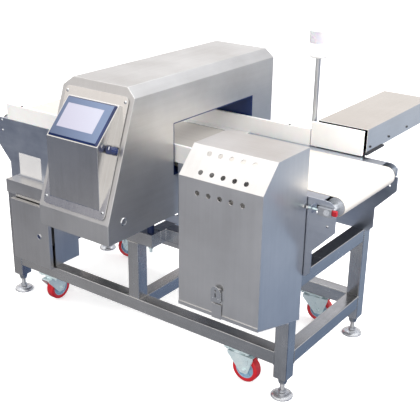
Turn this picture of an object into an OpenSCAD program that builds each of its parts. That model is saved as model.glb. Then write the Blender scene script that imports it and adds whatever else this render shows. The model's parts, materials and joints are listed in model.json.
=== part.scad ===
// Conveyor metal detector on a tube stand. A belt carries goods through the
// opening of the detector head. A pusher behind the belt moves rejected goods
// sideways into a bin. Millimetres, +Z up, the belt runs along X and the
// operator stands on the -Y side. The origin is on the floor, in the middle
// of the whole machine's footprint.

/* [Stand] */
// outside length of the stand, along the belt
stand_length = 1320; // [1290:1340]
// outside width of the stand, across the belt
stand_width = 568; // [564:580]
// side of the square tube
tube_side = 50; // [46:50]
// wall of the square tube
tube_wall = 2; // [1.5:0.5:3]
// gap between the floor and the leg ends
leg_lift = 77; // [72:82]
// height of the underside of the lower rails
lower_rail_height = 125; // [125:135]
// height of the top of the stand
stand_height = 452; // [450:454]
// x of the right face of the middle legs
middle_leg_reach = 25; // [15:30]
// x at which the full-width front rail ends
step_reach = 90; // [85:110]
// inset of the outfeed rail from the front
step_back = 80; // [76:90]

/* [Feet and casters] */
// foot pad diameter
pad_diameter = 76; // [70:84]
// total height of the domed pad
pad_height = 14; // [12:16]
// threaded stem diameter
stem_diameter = 16; // [14:18]
// height of the stem end above the floor
stem_top = 130; // [120:140]
// height of the block pressed into each leg end
insert_height = 20; // [16:24]
// height of the cone below each leg end
cone_height = 26; // [20:28]
// caster pivots from the stand's ends
caster_inset = 200; // [185:215]
// caster wheel diameter
wheel_diameter = 100; // [96:100]
// caster wheel width
wheel_width = 32; // [28:36]
// gap between the floor and the lifted wheels
wheel_lift = 5; // [3:7]
// distance from the pivot to the wheel axle
caster_trail = 30; // [25:34]
// thickness of the caster's mounting plate
caster_plate = 6; // [5:7]
// thickness of the fork's crown and cheeks
fork_sheet = 3; // [2.5:0.5:3.5]

/* [Detector head] */
// length of the head along the belt
head_length = 310; // [300:320]
// head front beyond the stand
head_front_overhang = 290; // [281:296]
// head back beyond the stand
head_back_overhang = 96; // [86:106]
// gap between the stand and the head
head_gap = 80; // [76:84]
// head height
head_height = 484; // [478:495]
// vertical strip below the sloped front
apron_height = 70; // [66:74]
// lean of the sloped front from level, degrees
slope_angle = 70; // [69:71]
// width of the bevel on the long top edges
bevel_width = 38; // [34:42]
// drop of the bevel on the long top edges
bevel_drop = 30; // [26:34]
// wall of the head's sheet
head_wall = 3; // [2.5:0.5:3.5]
// gap beside the plates in the opening
opening_margin = 12; // [11:17]
// height of the opening for the belt
opening_height = 183; // [180:186]
// opening's floor above the head's underside
opening_lift = 149; // [148:151]
// thickness of the opening's liner
liner_wall = 3; // [2:0.5:3.5]
// insulating post diameter
post_diameter = 26; // [22:30]
// posts from the head's middle, along the belt
post_reach = 65; // [55:70]
// diameter of the bolts through the posts
post_bolt_diameter = 12; // [10:12]
// blanking plug diameter
plug_diameter = 28; // [24:30]

/* [Control panel] */
// panel plate width
panel_width = 274; // [266:280]
// length of the panel plate along the slope
panel_length = 397; // [393:399]
// panel plate from the slope's lower edge
panel_start = 13; // [13:16]
// corner radius of the panel plate
panel_corner = 18; // [14:22]
// panel plate thickness
panel_sheet = 3; // [2:0.5:3.5]
// thickness of the seal under the panel plate
seal_thickness = 1.5; // [1:0.5:2]
// wedge-shaped control box width
wedge_width = 222; // [218:226]
// box's lower edge from the panel's lower edge
wedge_low_margin = 29; // [25:33]
// box's ridge from its top edge
ridge_setback = 142; // [138:146]
// height of the ridge off the slope
ridge_height = 74.5; // [72:78]
// box's top edge from the panel's top edge
wedge_top_margin = 31; // [29:33]
// height of the box's top edge off the slope
wedge_lip = 12; // [10:14]
// width of the display's bezel
bezel_width = 212; // [206:214]
// height of the display's bezel
bezel_height = 148; // [144:150]
// how far the bezel stands proud
bezel_proud = 7; // [6:9]
// screen width
screen_width = 156; // [150:158]
// screen height
screen_height = 88; // [84:90]
// shift of the screen to the left
screen_shift = 8; // [6:10]
// diameter of the rotary switch's knob
knob_diameter = 28; // [26:29]
// knob height
knob_height = 30; // [26:34]

/* [Conveyor] */
// inset of the side plates from the stand
plate_inset = 56; // [54:58]
// side plate thickness
plate_sheet = 3; // [2.5:0.5:3]
// height of the belt above the stand
belt_rise = 272; // [271:274]
// inset of the belt's edges from the side plates
belt_margin = 47; // [46:51]
// belt thickness
belt_thickness = 2; // [1.5:0.5:2.5]
// end roller diameter
roller_diameter = 60; // [58:60]
// end rollers beyond the stand's ends
roller_overhang = 82; // [78:86]
// roller shaft diameter
shaft_diameter = 20; // [18:20]
// side plates' ends beyond the end rollers
plate_margin = 27; // [26:30]
// corner radius of the side plates' ends
plate_corner = 36; // [30:38]
// length of the side plates' feet
foot_length = 168; // [160:176]
// side plates' feet beyond the stand's ends
foot_overhang = 34; // [30:40]
// inturned top flange width
flange_width = 43; // [40:43]
// slider bed thickness
bed_thickness = 12; // [11:12]
// distance of the return bars from the middle
return_reach = 190; // [188:196]
// inward travel of the tail roller
take_up_travel = 5; // [4:5]
// height of the side guards above the plates
guard_height = 62; // [56:66]
// side guard thickness
guard_thickness = 12; // [10:14]
// guards' infeed ends beyond the stand
guard_overhang = 32; // [20:36]
// gap between the near guard and the bin
near_guard_gap = 6; // [4:18]
// gap between the far guard and the pusher plate
far_guard_gap = 4; // [3:16]

/* [Reject bin] */
// bin's left side from the stand's outfeed end
bin_inset = 292; // [286:294]
// width of the bin along the belt
bin_width = 300; // [298:302]
// bin front beyond the stand
bin_front_overhang = 202; // [192:212]
// gap between the bin and the near side plate
bin_back_gap = 4; // [3:5]
// height of the bin's top above the belt
bin_rise = 158; // [152:164]
// drop from the bin's top to its front's upper edge
bin_shoulder_drop = 81; // [76:86]
// inset of the top's front edge from the bin's front
bin_brow_inset = 76; // [70:82]
// drop from the stand's top to the front's lower edge
bin_front_drop = 85; // [78:92]
// drop from the stand's top to the sides' back edge
bin_back_drop = 160; // [154:166]
// thickness of the bin's sheet
bin_sheet = 2; // [1.5:0.5:2.5]
// vent hole diameter
vent_diameter = 16; // [12:18]
// spacing of the vent holes
vent_pitch = 40.5; // [38:42]

/* [Pusher] */
// pusher's middle past the bin's middle
pusher_shift = 10; // [8:12]
// pusher plate width
pusher_width = 204; // [196:204]
// pusher plate height
pusher_height = 89; // [84:90]
// stroke of the pusher
pusher_stroke = 380; // [340:380]
// diameter of the pusher's rods
rod_diameter = 16; // [12:16]
// diameter of the cylinder's tube
cylinder_diameter = 50; // [46:52]
// width of the cover over the pusher
cover_width = 196; // [192:198]
// height of the cover's top above the belt
cover_rise = 96; // [94:104]
// gap between the cylinder and the cover's end
cover_gap = 18; // [14:28]
// thickness of the cover's sheet
cover_sheet = 2; // [1.5:0.5:2]

/* [Cabinet] */
// door's hinged edge from the stand's infeed end
door_inset = 40; // [39:44]
// door width
door_width = 206; // [200:208]
// door height
door_height = 257; // [250:260]
// folded door thickness
door_depth = 16; // [14:17]
// depth of the cabinet body
cabinet_depth = 131; // [120:136]
// gap between the cabinet body and the upper rail
cabinet_gap = 3; // [1:13]
// thickness of the cabinet's sheet
cabinet_sheet = 2; // [1.5:0.5:2]
// height of the hood's top above the stand
hood_rise = 44; // [38:48]
// gap between the hood's right end and the head
hood_gap = 15; // [7:45]

/* [Beacon] */
// beacon pole from the pusher's middle
beacon_offset = 108; // [106:110]
// beacon pole diameter
pole_diameter = 18; // [16:20]
// height of the pole's top above the belt
pole_rise = 319; // [276:356]
// lamp diameter
lamp_diameter = 72; // [64:76]
// height of the lamp's lower part
lamp_base_height = 52; // [46:56]
// lens height
lens_height = 40; // [34:44]
// height of the lamp's cap
lamp_cap_height = 13; // [10:16]

/* [Hidden] */
// small sizes, each kept with the piece that carries it
curve_steps = 72;
$fn = curve_steps;
cut_over = 1;
rest_gap = 0.3;
running_gap = 0.05;
half_share = 0.5;
nut_gap = 2;
lock_nut_height = 10;
tread_gap = 2;
cheek_gap = 2.5;
axle_diameter = 10;
swivel_pin = 10;
button_radius = 5;
notch_gap = 8;
notch_drop = 5;
plug_setback = 73;
plug_rise = 64;
hex_nut_height = 8;
hanging_nut_height = 14;
bolt_tail = 16;
switch_shift = 2;
display_depth = 24;
screen_recess = 1;
screen_thickness = 0.6;
plate_lift = 44;
foot_cut = 18;
foot_slope_rise = 93;
end_slope_drop = 98;
belt_gap = 0.5;
bed_setback = 38;
bed_overhang = 1;
return_bar_width = 19;
return_bar_height = 24;
roller_inset = 3;
crossbar_side = 40;
crossbar_rise = 148;
flat_bar_width = 24;
flat_bar_height = 12;
slot_wall = 4;
block_front = 20;
block_back = 7;
tab_gap = 6;
tab_thickness = 4;
tab_setback = 8;
screw_overhang = 30;
screw_grip = 9;
cap_overhang = 4;
cap_half = 8;
bearing_side = 50;
bearing_width = 18;
sprocket_radius = 20;
sprocket_width = 12;
chain_width = 9;
chain_height = 6;
drive_drop = 176;
gearbox_side = 80;
gearbox_rise = 110;
motor_radius = 45;
motor_gap = 88;
terminal_box = 60;
label_width = 124;
label_height = 90;
label_inset = 20;
label_rise = 8;
label_thickness = 1;
bin_wall_gap = 4;
chute_drop = 76;
chute_lip_drop = 8;
vent_drop = 44;
bin_arm_width = 20;
hatch_setback = 12;
hatch_lip = 10;
catch_height = 46;
latch_width = 36;
latch_rise = 58;
latch_foot = 6;
latch_plate_height = 46;
rivet_rise = 30;
rivet_radius = 2;
lever_height = 34;
lever_foot = 2;
lug_radius = 3.6;
pusher_gap = 3;
rod_rise = 55;
rod_spread = 58;
guide_setback = 17;
guide_length = 80;
guide_overhang = 20;
cylinder_cap = 20;
cylinder_wall = 5;
piston_length = 15;
piston_spare = 12;
piston_gap = 4;
cover_shift = 12;
cover_setback = 8;
tray_rise = 17;
bracket_sheet = 6;
bracket_depth = 145;
bracket_height = 175;
bracket_overhang = 7;
cover_screw_rise = 12;
door_rise = 48;
door_proud = 22;
cabinet_setback = 10;
side_setback = 2;
hinge_radius = 2.7;
hinge_pin = 1.5;
hinge_length = 24;
hinge_inset = 40;
lock_inset = 53;
lock_barrel = 8;
lock_face = 11;
lock_proud = 3;
cam_half = 6;
cam_setback = 14;
hood_drop = 12;
hood_slot_inset = 8;
hood_slot_height = 6;
clamp_side = 16;
clamp_drop = 30;
clamp_height = 48;
pole_foot = 6;
guard_screw_inset = 79;
stand_half_length = stand_length / 2;
stand_half_width = stand_width / 2;
caster_reach = stand_half_length - caster_inset;
head_front = stand_half_width + head_front_overhang;
head_back = stand_half_width + head_back_overhang;
plate_reach = stand_half_width - plate_inset;
opening_width = 2 * (plate_reach + opening_margin);
belt_width = 2 * (plate_reach - belt_margin);
roller_reach = stand_half_length + roller_overhang;
plate_end = roller_reach + plate_margin;
foot_end = stand_half_length + foot_overhang;
guard_infeed = stand_half_length + guard_overhang;
bin_start = stand_half_length - bin_inset;
bin_front = stand_half_width + bin_front_overhang;
bin_back = plate_reach + bin_back_gap;
bin_brow = bin_front - bin_brow_inset;
near_guard_end = bin_start - near_guard_gap;
pusher_middle = bin_start + bin_width / 2 + pusher_shift;
far_guard_end = pusher_middle - pusher_width / 2 - far_guard_gap;
beacon_x = pusher_middle - beacon_offset;
door_start = door_inset - stand_half_length;
hood_end = -head_length / 2 - hood_gap;
guide_start = plate_reach + guide_setback;
guide_end = guide_start + guide_length;
cylinder_length = pusher_stroke + 2 * cylinder_cap + piston_length + piston_spare;
cover_reach = guide_end + cylinder_length + cover_gap;
// shift that puts the origin under the footprint's middle
centre_shift = (head_front - cover_reach) / 2;
leg_line_x = stand_half_length - tube_side / 2;
leg_line_y = stand_half_width - tube_side / 2;
inner_line_y = stand_half_width - tube_side;
inner_line_x = stand_half_length - tube_side;
lower_rail_top = lower_rail_height + tube_side;
upper_rail_low = stand_height - tube_side;
setback_front = step_back - stand_half_width;
insert_side = tube_side - 2 * tube_wall;
stem_bore = stem_diameter / 2 + running_gap;
cone_low = leg_lift - cone_height;
wheel_radius = wheel_diameter / 2;
axle_height = wheel_lift + wheel_radius;
crown_low = axle_height + wheel_radius + tread_gap;
race_top = lower_rail_height - caster_plate;
cheek_inner = wheel_width / 2 + cheek_gap;
cheek_outer = cheek_inner + fork_sheet;
head_low = stand_height + head_gap;
head_top = head_low + head_height;
half_head = head_length / 2;
slope_low = head_low + apron_height;
slope_run = (head_top - slope_low) / tan(slope_angle);
opening_low = head_low + opening_lift;
opening_top = opening_low + opening_height;
half_opening = opening_width / 2;
panel_low = seal_thickness;
wedge_start = panel_start + wedge_low_margin;
wedge_end = panel_start + panel_length - wedge_top_margin;
ridge_start = wedge_end - ridge_setback;
panel_face = panel_low + panel_sheet;
face_angle = atan((ridge_height - wedge_lip) / (wedge_end - ridge_start));
face_length = (wedge_end - ridge_start) / cos(face_angle);
wedge_angle = atan((ridge_height - panel_face) / (ridge_start - wedge_start));
switch_x = (wedge_width + panel_width) / 4 + switch_shift;
plate_inner = plate_reach - plate_sheet;
roller_radius = roller_diameter / 2;
belt_height = stand_height + belt_rise;
belt_under = belt_height - belt_thickness;
roller_height = belt_under - belt_gap - roller_radius;
loop_inner = roller_radius + belt_gap;
loop_outer = loop_inner + belt_thickness;
bed_top = belt_under - rest_gap;
bed_low = bed_top - bed_thickness;
return_top = roller_height;
return_span = roller_reach - return_reach;
slot_half = shaft_diameter / 2 + slot_wall;
block_start = roller_reach - shaft_diameter / 2 - block_front;
slot_start = block_start - take_up_travel - tab_gap;
block_end = roller_reach + shaft_diameter / 2 + block_back;
block_half = slot_half - rest_gap;
head_clear = half_head + notch_gap;
notch_low = head_low - notch_drop;
plate_low = stand_height + plate_lift;
bin_end = bin_start + bin_width;
bin_wall_back = stand_half_width + bin_wall_gap;
bin_top = belt_height + bin_rise;
bin_shoulder = bin_top - bin_shoulder_drop;
bin_front_low = stand_height - bin_front_drop;
bin_back_low = stand_height - bin_back_drop;
bin_fall = (bin_front_low - bin_back_low) / (bin_front - bin_back);
slant_angle = atan((bin_top - bin_shoulder) / (bin_front - bin_brow));
pusher_low = belt_height + pusher_gap;
rod_height = pusher_low + rod_rise;
cylinder_bore = cylinder_diameter / 2 - cylinder_wall;
cover_start = plate_reach + cover_setback;
tray_top = belt_height + tray_rise;
cover_top = belt_height + cover_rise;
hood_top = stand_height + hood_rise;
door_end = door_start + door_width;
door_low = lower_rail_height + door_rise;
door_front = stand_half_width + door_proud;
door_back = door_front - door_depth;
cabinet_front = stand_half_width - cabinet_setback;
cabinet_low = lower_rail_top;
cabinet_height = upper_rail_low - cabinet_gap - cabinet_low;
lock_x = door_end - lock_inset;
lock_z = door_low + door_height * half_share;
pole_y = plate_reach + pole_diameter;
pole_top = belt_height + pole_rise;
drive_height = belt_height - drive_drop;
sprocket_line = [plate_inner - bearing_width - cut_over - sprocket_width,
  plate_inner - bearing_width - cut_over];
screw_radius = shaft_diameter / 5;
screw_line = -plate_reach - slot_half * half_share;
pusher_axis = pusher_middle + cover_shift;
latch_x = bin_start + bin_width / 2;
latch_pivot = bin_front_low + latch_rise;
hinge_x = door_start + half_share;
hinge_y = -stand_half_width - hinge_radius - rest_gap;
hinge_lows = [door_low + hinge_inset, door_low + door_height - hinge_inset - hinge_length];
// swivel angles of the casters, degrees from the outfeed direction
turn_front_left = 90;
turn_front_right = 0;
turn_back_left = 205;
turn_back_right = 8;
// places as shares of the sizes that they follow
low_bar_shares = [0.5, 0.85];
flat_bar_shares = [0.35, 0.7, 1.04];
bin_arm_shares = [0.2, 0.65];
vent_shares = [0.21, 0.78];
rivet_shares = [0.3, 0.8];
drive_shares = [0.25, 0.72, 0.4, 0.2, 0.85];
shaft_share = 0.2;
collar_share = 0.36;
screw_share = 0.58;
screw_hole_share = 0.62;
latch_base_share = 0.36;
lever_share = 0.46;
pin_share = 1.2;
corner_shares = [0.66, 1.33];
guard_screw_shares = [0.08, 0.42, 0.92];
cover_screw_shares = [0.05, 0.33, 0.62];
screw_reach = panel_width / 2 - corner_shares[0] * panel_corner;
screw_rows = [panel_start + corner_shares[1] * panel_corner, panel_start + panel_length - panel_corner];
near_guard_screws = [for (t = guard_screw_shares) -guard_infeed + t * (guard_infeed + near_guard_end)];
far_guard_screws = [for (t = guard_screw_shares) -guard_infeed + t * (guard_infeed + far_guard_end)];
cover_screws = [for (t = cover_screw_shares) cover_start + t * (cover_reach - cover_start)];
plate_screws = [
  [-roller_reach + bearing_side / 3, roller_height + bearing_side * 0.44],
  [-roller_reach + bearing_side / 3, roller_height - bearing_side * 0.4],
  [roller_reach, roller_height - bearing_side]
];

/* [View] */
// name of the sub-part to show, or all

// moves a piece drawn about the belt's line to its place
module placed() {
  translate([0, centre_shift, 0]) children();
}

module up(z) translate([0, 0, z]) children();

// a span lengthened for a cut, and a span about a middle
function past(a, b) = [a - cut_over, b + cut_over];
function about(mid, half) = [mid - half, mid + half];

// box between two corners
module block(x, y, z) {
  translate([x[0], y[0], z[0]]) cube([x[1] - x[0], y[1] - y[0], z[1] - z[0]]);
}

// square tube along X, open at the ends named in the list
module tube_x(x, y, z, open_start = true, open_end = true) {
  bore_start = open_start ? x[0] - cut_over : x[0] + tube_wall;
  bore_end = open_end ? x[1] + cut_over : x[1] - tube_wall;
  difference() {
    block(x, about(y, tube_side / 2), [z, z + tube_side]);
    block([bore_start, bore_end], about(y, insert_side / 2), [z + tube_wall, z + tube_side - tube_wall]);
  }
}

// square tube along Y, open at both ends
module tube_y(x, y, z) {
  difference() {
    block(about(x, tube_side / 2), y, [z, z + tube_side]);
    block(about(x, insert_side / 2),
      [y[0] - cut_over, y[1] + cut_over],
      [z + tube_wall, z + tube_side - tube_wall]);
  }
}

// upright square tube, closed at the top when asked
module tube_z(x, y, z, capped = false) {
  bore_top = capped ? z[1] - tube_wall : z[1] + cut_over;
  difference() {
    block(about(x, tube_side / 2), about(y, tube_side / 2), z);
    block(about(x, insert_side / 2), about(y, insert_side / 2), [z[0] - cut_over, bore_top]);
  }
}

module rod_x(x, y, z, r) {
  translate([x[0], y, z]) rotate([0, 90, 0]) cylinder(h = x[1] - x[0], r = r);
}

module rod_y(x, y, z, r) {
  translate([x, y[0], z]) rotate([-90, 0, 0]) cylinder(h = y[1] - y[0], r = r);
}

module rod_z(x, y, z, r) {
  translate([x, y, z[0]]) cylinder(h = z[1] - z[0], r = r);
}

// extrudes an outline drawn in Y and Z along X
module along_x(x) {
  translate([x[0], 0, 0]) rotate([90, 0, 90]) linear_extrude(height = x[1] - x[0]) children();
}

// extrudes an outline drawn in X and Z along Y
module along_y(y) {
  translate([0, y[1], 0]) rotate([90, 0, 0]) linear_extrude(height = y[1] - y[0]) children();
}

// flat plate with rounded corners, lying in X and Y
module rounded_plate(x, y, z, r) {
  block([x[0] + r, x[1] - r], y, z);
  block(x, [y[0] + r, y[1] - r], z);
  for (px = [x[0] + r, x[1] - r], py = [y[0] + r, y[1] - r])
    rod_z(px, py, z, r);
}

// low domed screw head with a socket, on the plane z = 0
module dome_head() {
  difference() {
    union() {
      cylinder(h = button_radius * 0.3, r = button_radius);
      up(button_radius * 0.3)
        cylinder(h = button_radius * 0.4, r1 = button_radius, r2 = button_radius * 0.6);
    }
    up(button_radius * 0.25)
      cylinder(h = button_radius, r = button_radius * 0.35, $fn = 6);
  }
}

module leg_insert(x, y) {
  difference() {
    union() {
      block(about(x, insert_side / 2), about(y, insert_side / 2), [leg_lift, leg_lift + insert_height]);
      translate([x, y, cone_low])
        cylinder(h = cone_height, r1 = stem_diameter * 0.8, r2 = insert_side * 0.42);
    }
    rod_z(x, y, past(cone_low, leg_lift + insert_height), stem_bore);
  }
}

// corner legs with threaded inserts, and middle legs
module legs() {
  color([0.76, 0.75, 0.73]) placed() {
    for (sx = [-1, 1], sy = [-1, 1]) {
      tube_z(sx * leg_line_x, sy * leg_line_y, [leg_lift, stand_height], capped = true);
      leg_insert(sx * leg_line_x, sy * leg_line_y);
    }
    for (sy = [-1, 1])
      tube_z(middle_leg_reach - tube_side / 2, sy * leg_line_y, [lower_rail_top, upper_rail_low]);
  }
}

// cross rail at one end of the stand
module end_rail(sx, z) {
  tube_y(sx * leg_line_x, [-inner_line_y + rest_gap, inner_line_y - rest_gap], z);
}

// long and cross rails near the floor
module lower_rails() {
  color([0.74, 0.73, 0.71]) placed() {
    for (sy = [-1, 1])
      tube_x(about(0, inner_line_x), sy * leg_line_y, lower_rail_height);
    tube_y(middle_leg_reach - tube_side / 2, about(0, inner_line_y), lower_rail_height);
    for (sx = [-1, 1])
      end_rail(sx, lower_rail_height);
  }
}

module bored_rail(x, y) {
  difference() {
    tube_x(x, y, upper_rail_low, open_end = false);
    for (sx = [-1, 1])
      rod_z(sx * post_reach, y, past(upper_rail_low, stand_height), post_bolt_diameter / 2 + running_gap);
  }
}

// top frame; the front rail steps back behind the bin
module upper_rails() {
  color([0.76, 0.75, 0.73]) placed() {
    for (sy = [-1, 1])
      bored_rail([-inner_line_x, step_reach], sy * leg_line_y);
    tube_x([step_reach, inner_line_x], setback_front + tube_side / 2, upper_rail_low);
    tube_y(step_reach - tube_side / 2, about(0, inner_line_y), upper_rail_low);
    for (sx = [-1, 1])
      end_rail(sx, upper_rail_low);
  }
}

// domed pad, threaded stem and lock nut
module foot(sx, sy) {
  color([0.80, 0.81, 0.82]) placed() translate([sx * leg_line_x, sy * leg_line_y, 0]) {
    difference() {
      union() {
        cylinder(h = pad_height * 0.3, r = pad_diameter / 2);
        up(pad_height * 0.3)
          cylinder(h = pad_height * 0.7, r1 = pad_diameter * 0.46, r2 = stem_diameter * 0.75);
      }
      up(pad_height * half_share) cylinder(h = pad_height, r = stem_diameter / 2);
    }
    up(pad_height * half_share)
      cylinder(h = stem_top - pad_height * half_share, r = stem_diameter / 2);
    up(pad_height + nut_gap)
      difference() {
        cylinder(h = lock_nut_height, r = stem_diameter * 0.85, $fn = 6);
        up(-cut_over)
          cylinder(h = lock_nut_height + 2 * cut_over, r = stem_diameter / 2);
      }
  }
}

module foot_front_left() foot(-1, -1);
module foot_front_right() foot(1, -1);
module foot_back_left() foot(-1, 1);
module foot_back_right() foot(1, 1);

// caster plates with the upper ball race
module caster_plates() {
  race_low = crown_low + fork_sheet + rest_gap;
  color([0.70, 0.72, 0.74]) placed()
    for (sx = [-1, 1], sy = [-1, 1])
      translate([sx * caster_reach, sy * leg_line_y, 0]) {
        block(about(0, tube_side), about(0, tube_side / 2), [race_top, lower_rail_height]);
        difference() {
          rod_z(0, 0, [race_low, race_top], tube_side * 0.48);
          rod_z(0, 0, [race_low - cut_over, race_top - fork_sheet * half_share],
            swivel_pin / 2 + running_gap);
        }
      }
}

module at_caster(sx, sy, turn) {
  placed() translate([sx * caster_reach, sy * leg_line_y, 0]) rotate([0, 0, turn]) children();
}

// swivel fork: crown, two cheeks and the axle bolt
module caster_fork(sx, sy, turn) {
  crown_back = -wheel_width * 1.2;
  crown_front = caster_trail + wheel_width * 1.1;
  cheek_foot = wheel_width * 0.42;
  color([0.68, 0.72, 0.74]) at_caster(sx, sy, turn) {
    block([crown_back, crown_front], about(0, cheek_outer), [crown_low, crown_low + fork_sheet]);
    rod_z(0, 0, [crown_low, race_top - fork_sheet], swivel_pin / 2);
    for (sy_cheek = [-1, 1])
      difference() {
        along_y(sy_cheek > 0 ? [cheek_inner, cheek_outer] : [-cheek_outer, -cheek_inner]) polygon([
          [crown_back, crown_low + fork_sheet], [crown_front, crown_low + fork_sheet],
          [crown_front, crown_low - fork_sheet],
          [caster_trail + cheek_foot, axle_height - cheek_foot],
          [caster_trail - cheek_foot, axle_height - cheek_foot],
          [crown_back, crown_low - fork_sheet]
        ]);
        rod_y(caster_trail, about(0, wheel_width), axle_height, axle_diameter / 2);
      }
    rod_y(caster_trail, about(0, cheek_outer), axle_height, axle_diameter / 2);
    for (sy_nut = [-1, 1])
      translate([caster_trail, sy_nut * cheek_outer, axle_height]) rotate([-90 * sy_nut, 0, 0])
        cylinder(h = axle_diameter * 0.6, r = axle_diameter * 0.9, $fn = 6);
  }
}

module caster_fork_front_left() caster_fork(-1, -1, turn_front_left);
module caster_fork_front_right() caster_fork(1, -1, turn_front_right);
module caster_fork_back_left() caster_fork(-1, 1, turn_back_left);
module caster_fork_back_right() caster_fork(1, 1, turn_back_right);

// grooved hub and a tyre with bevelled shoulders
module caster_wheel(sx, sy, turn) {
  hub_radius = wheel_radius * 0.72;
  shoulder = wheel_width * 0.14;
  half_tread = wheel_width / 2;
  color([0.80, 0.10, 0.12]) at_caster(sx, sy, turn) translate([caster_trail, 0, axle_height])
    rotate([90, 0, 0]) {
      rotate_extrude() polygon([
        [axle_diameter / 2 + running_gap, -half_tread], [axle_diameter * 1.3, -half_tread],
        [axle_diameter * 1.3, -half_tread * half_share],
        [hub_radius * 0.86, -half_tread * half_share], [hub_radius * 0.86, -half_tread * 0.9],
        [hub_radius, -half_tread * 0.9], [hub_radius, half_tread * 0.9],
        [hub_radius * 0.86, half_tread * 0.9], [hub_radius * 0.86, half_tread * half_share],
        [axle_diameter * 1.3, half_tread * half_share], [axle_diameter * 1.3, half_tread],
        [axle_diameter / 2 + running_gap, half_tread]
      ]);
      rotate_extrude() polygon([
        [hub_radius, -half_tread * 0.9], [wheel_radius - shoulder * 2, -half_tread],
        [wheel_radius - shoulder, -half_tread], [wheel_radius, -half_tread + shoulder],
        [wheel_radius, half_tread - shoulder], [wheel_radius - shoulder, half_tread],
        [wheel_radius - shoulder * 2, half_tread], [hub_radius, half_tread * 0.9]
      ]);
    }
}

module caster_wheel_front_left() caster_wheel(-1, -1, turn_front_left);
module caster_wheel_front_right() caster_wheel(1, -1, turn_front_right);
module caster_wheel_back_left() caster_wheel(-1, 1, turn_back_left);
module caster_wheel_back_right() caster_wheel(1, 1, turn_back_right);

// head outline across the belt; the inset moves every edge inwards
function front_outline(inset) = [
  [-half_head + inset, head_low + inset], [half_head - inset, head_low + inset],
  [half_head - inset, head_top - bevel_drop - inset],
  [half_head - bevel_width - inset, head_top - inset],
  [-half_head + bevel_width + inset, head_top - inset],
  [-half_head + inset, head_top - bevel_drop - inset]
];

function side_outline(inset) = [
  [-head_front + inset, head_low + inset], [-head_front + inset, slope_low],
  [-head_front + slope_run + inset - inset / tan(slope_angle), head_top - inset],
  [head_back - inset, head_top - inset], [head_back - inset, head_low + inset]
];

module head_solid(inset) {
  intersection() {
    along_y([-head_front + inset, head_back - inset]) polygon(front_outline(inset));
    along_x(about(0, half_head)) polygon(side_outline(inset));
  }
}

// frame with Y up the slope and Z outwards
module on_slope() {
  placed() translate([0, -head_front, slope_low]) rotate([slope_angle, 0, 0]) children();
}

// hollow steel head with the opening for the belt
module head_housing() {
  color([0.78, 0.77, 0.75])
    difference() {
      placed()
        difference() {
          head_solid(0);
          difference() {
            head_solid(head_wall);
            block(about(0, half_head),
              [-half_opening - head_wall, half_opening + head_wall],
              [opening_low - head_wall, opening_top + head_wall]);
          }
          block(about(0, head_clear), about(0, half_opening), [opening_low, opening_top]);
          for (sx = [-1, 1], sy = [-1, 1])
            rod_z(sx * post_reach, sy * leg_line_y,
              past(head_low, head_low + head_wall),
              post_bolt_diameter / 2 + running_gap);
          rod_x([half_head - 2 * head_wall, half_head + cut_over],
            -head_front + plug_setback, head_low + plug_rise,
            plug_diameter * 0.4);
        }
      on_slope() block(about(0, wedge_width * 0.45),
        [wedge_start + panel_start, wedge_end - panel_start],
        [-2 * head_wall, cut_over]);
    }
}

// dark plastic sleeve in the opening
module tunnel_liner() {
  color([0.10, 0.12, 0.20]) placed()
    difference() {
      block(about(0, half_head), about(0, half_opening), [opening_low, opening_top]);
      block(about(0, head_clear),
        [-half_opening + liner_wall, half_opening - liner_wall],
        [opening_low + liner_wall, opening_top - liner_wall]);
    }
}

module tunnel_ring(x, inner, thick) {
  reach_y = half_opening + head_wall + inner;
  reach_z = head_wall + inner;
  difference() {
    block(x, [-reach_y - thick, reach_y + thick],
      [opening_low - reach_z - thick, opening_top + reach_z + thick]);
    block([x[0] - cut_over, x[1] + cut_over], about(0, reach_y),
      [opening_low - reach_z, opening_top + reach_z]);
  }
}

// former around the opening, inside the head
module coil_former() {
  color([0.82, 0.78, 0.66]) placed()
    tunnel_ring(about(0, half_head * 0.8), rest_gap, head_wall * 3);
}

// sending and receiving windings
module search_coils() {
  color([0.72, 0.42, 0.22]) placed()
    for (place_share = [-0.55, 0, 0.55])
      tunnel_ring(about(place_share * half_head, head_wall * 1.5), rest_gap + head_wall * 3, head_wall * 2);
}

// insulating posts between stand and head
module head_posts() {
  color([0.12, 0.13, 0.16]) placed()
    for (sx = [-1, 1], sy = [-1, 1])
      difference() {
        rod_z(sx * post_reach, sy * leg_line_y, [stand_height, head_low], post_diameter / 2);
        rod_z(sx * post_reach, sy * leg_line_y,
          past(stand_height, head_low),
          post_bolt_diameter / 2 + running_gap);
      }
}

// bolts through the rails and posts into the head
module post_bolts() {
  nut_low = upper_rail_low - hanging_nut_height;
  color([0.72, 0.73, 0.74]) placed()
    for (sx = [-1, 1], sy = [-1, 1])
      translate([sx * post_reach, sy * leg_line_y, 0]) {
        up(nut_low)
          cylinder(h = hanging_nut_height, r = post_bolt_diameter * 0.9, $fn = 6);
        rod_z(0, 0, [nut_low - bolt_tail, head_low + head_wall], post_bolt_diameter / 2);
        up(head_low + head_wall)
          cylinder(h = hex_nut_height, r = post_bolt_diameter * 0.9, $fn = 6);
      }
}

// plug in the spare cable hole
module blanking_plug() {
  color([0.62, 0.65, 0.70]) placed()
    translate([half_head, -head_front + plug_setback, head_low + plug_rise]) rotate([0, 90, 0]) {
      cylinder(h = head_wall * 1.3, r1 = plug_diameter / 2, r2 = plug_diameter * 0.42);
      up(-head_wall * 1.8) cylinder(h = head_wall * 1.8, r = plug_diameter * 0.4);
    }
}

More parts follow.
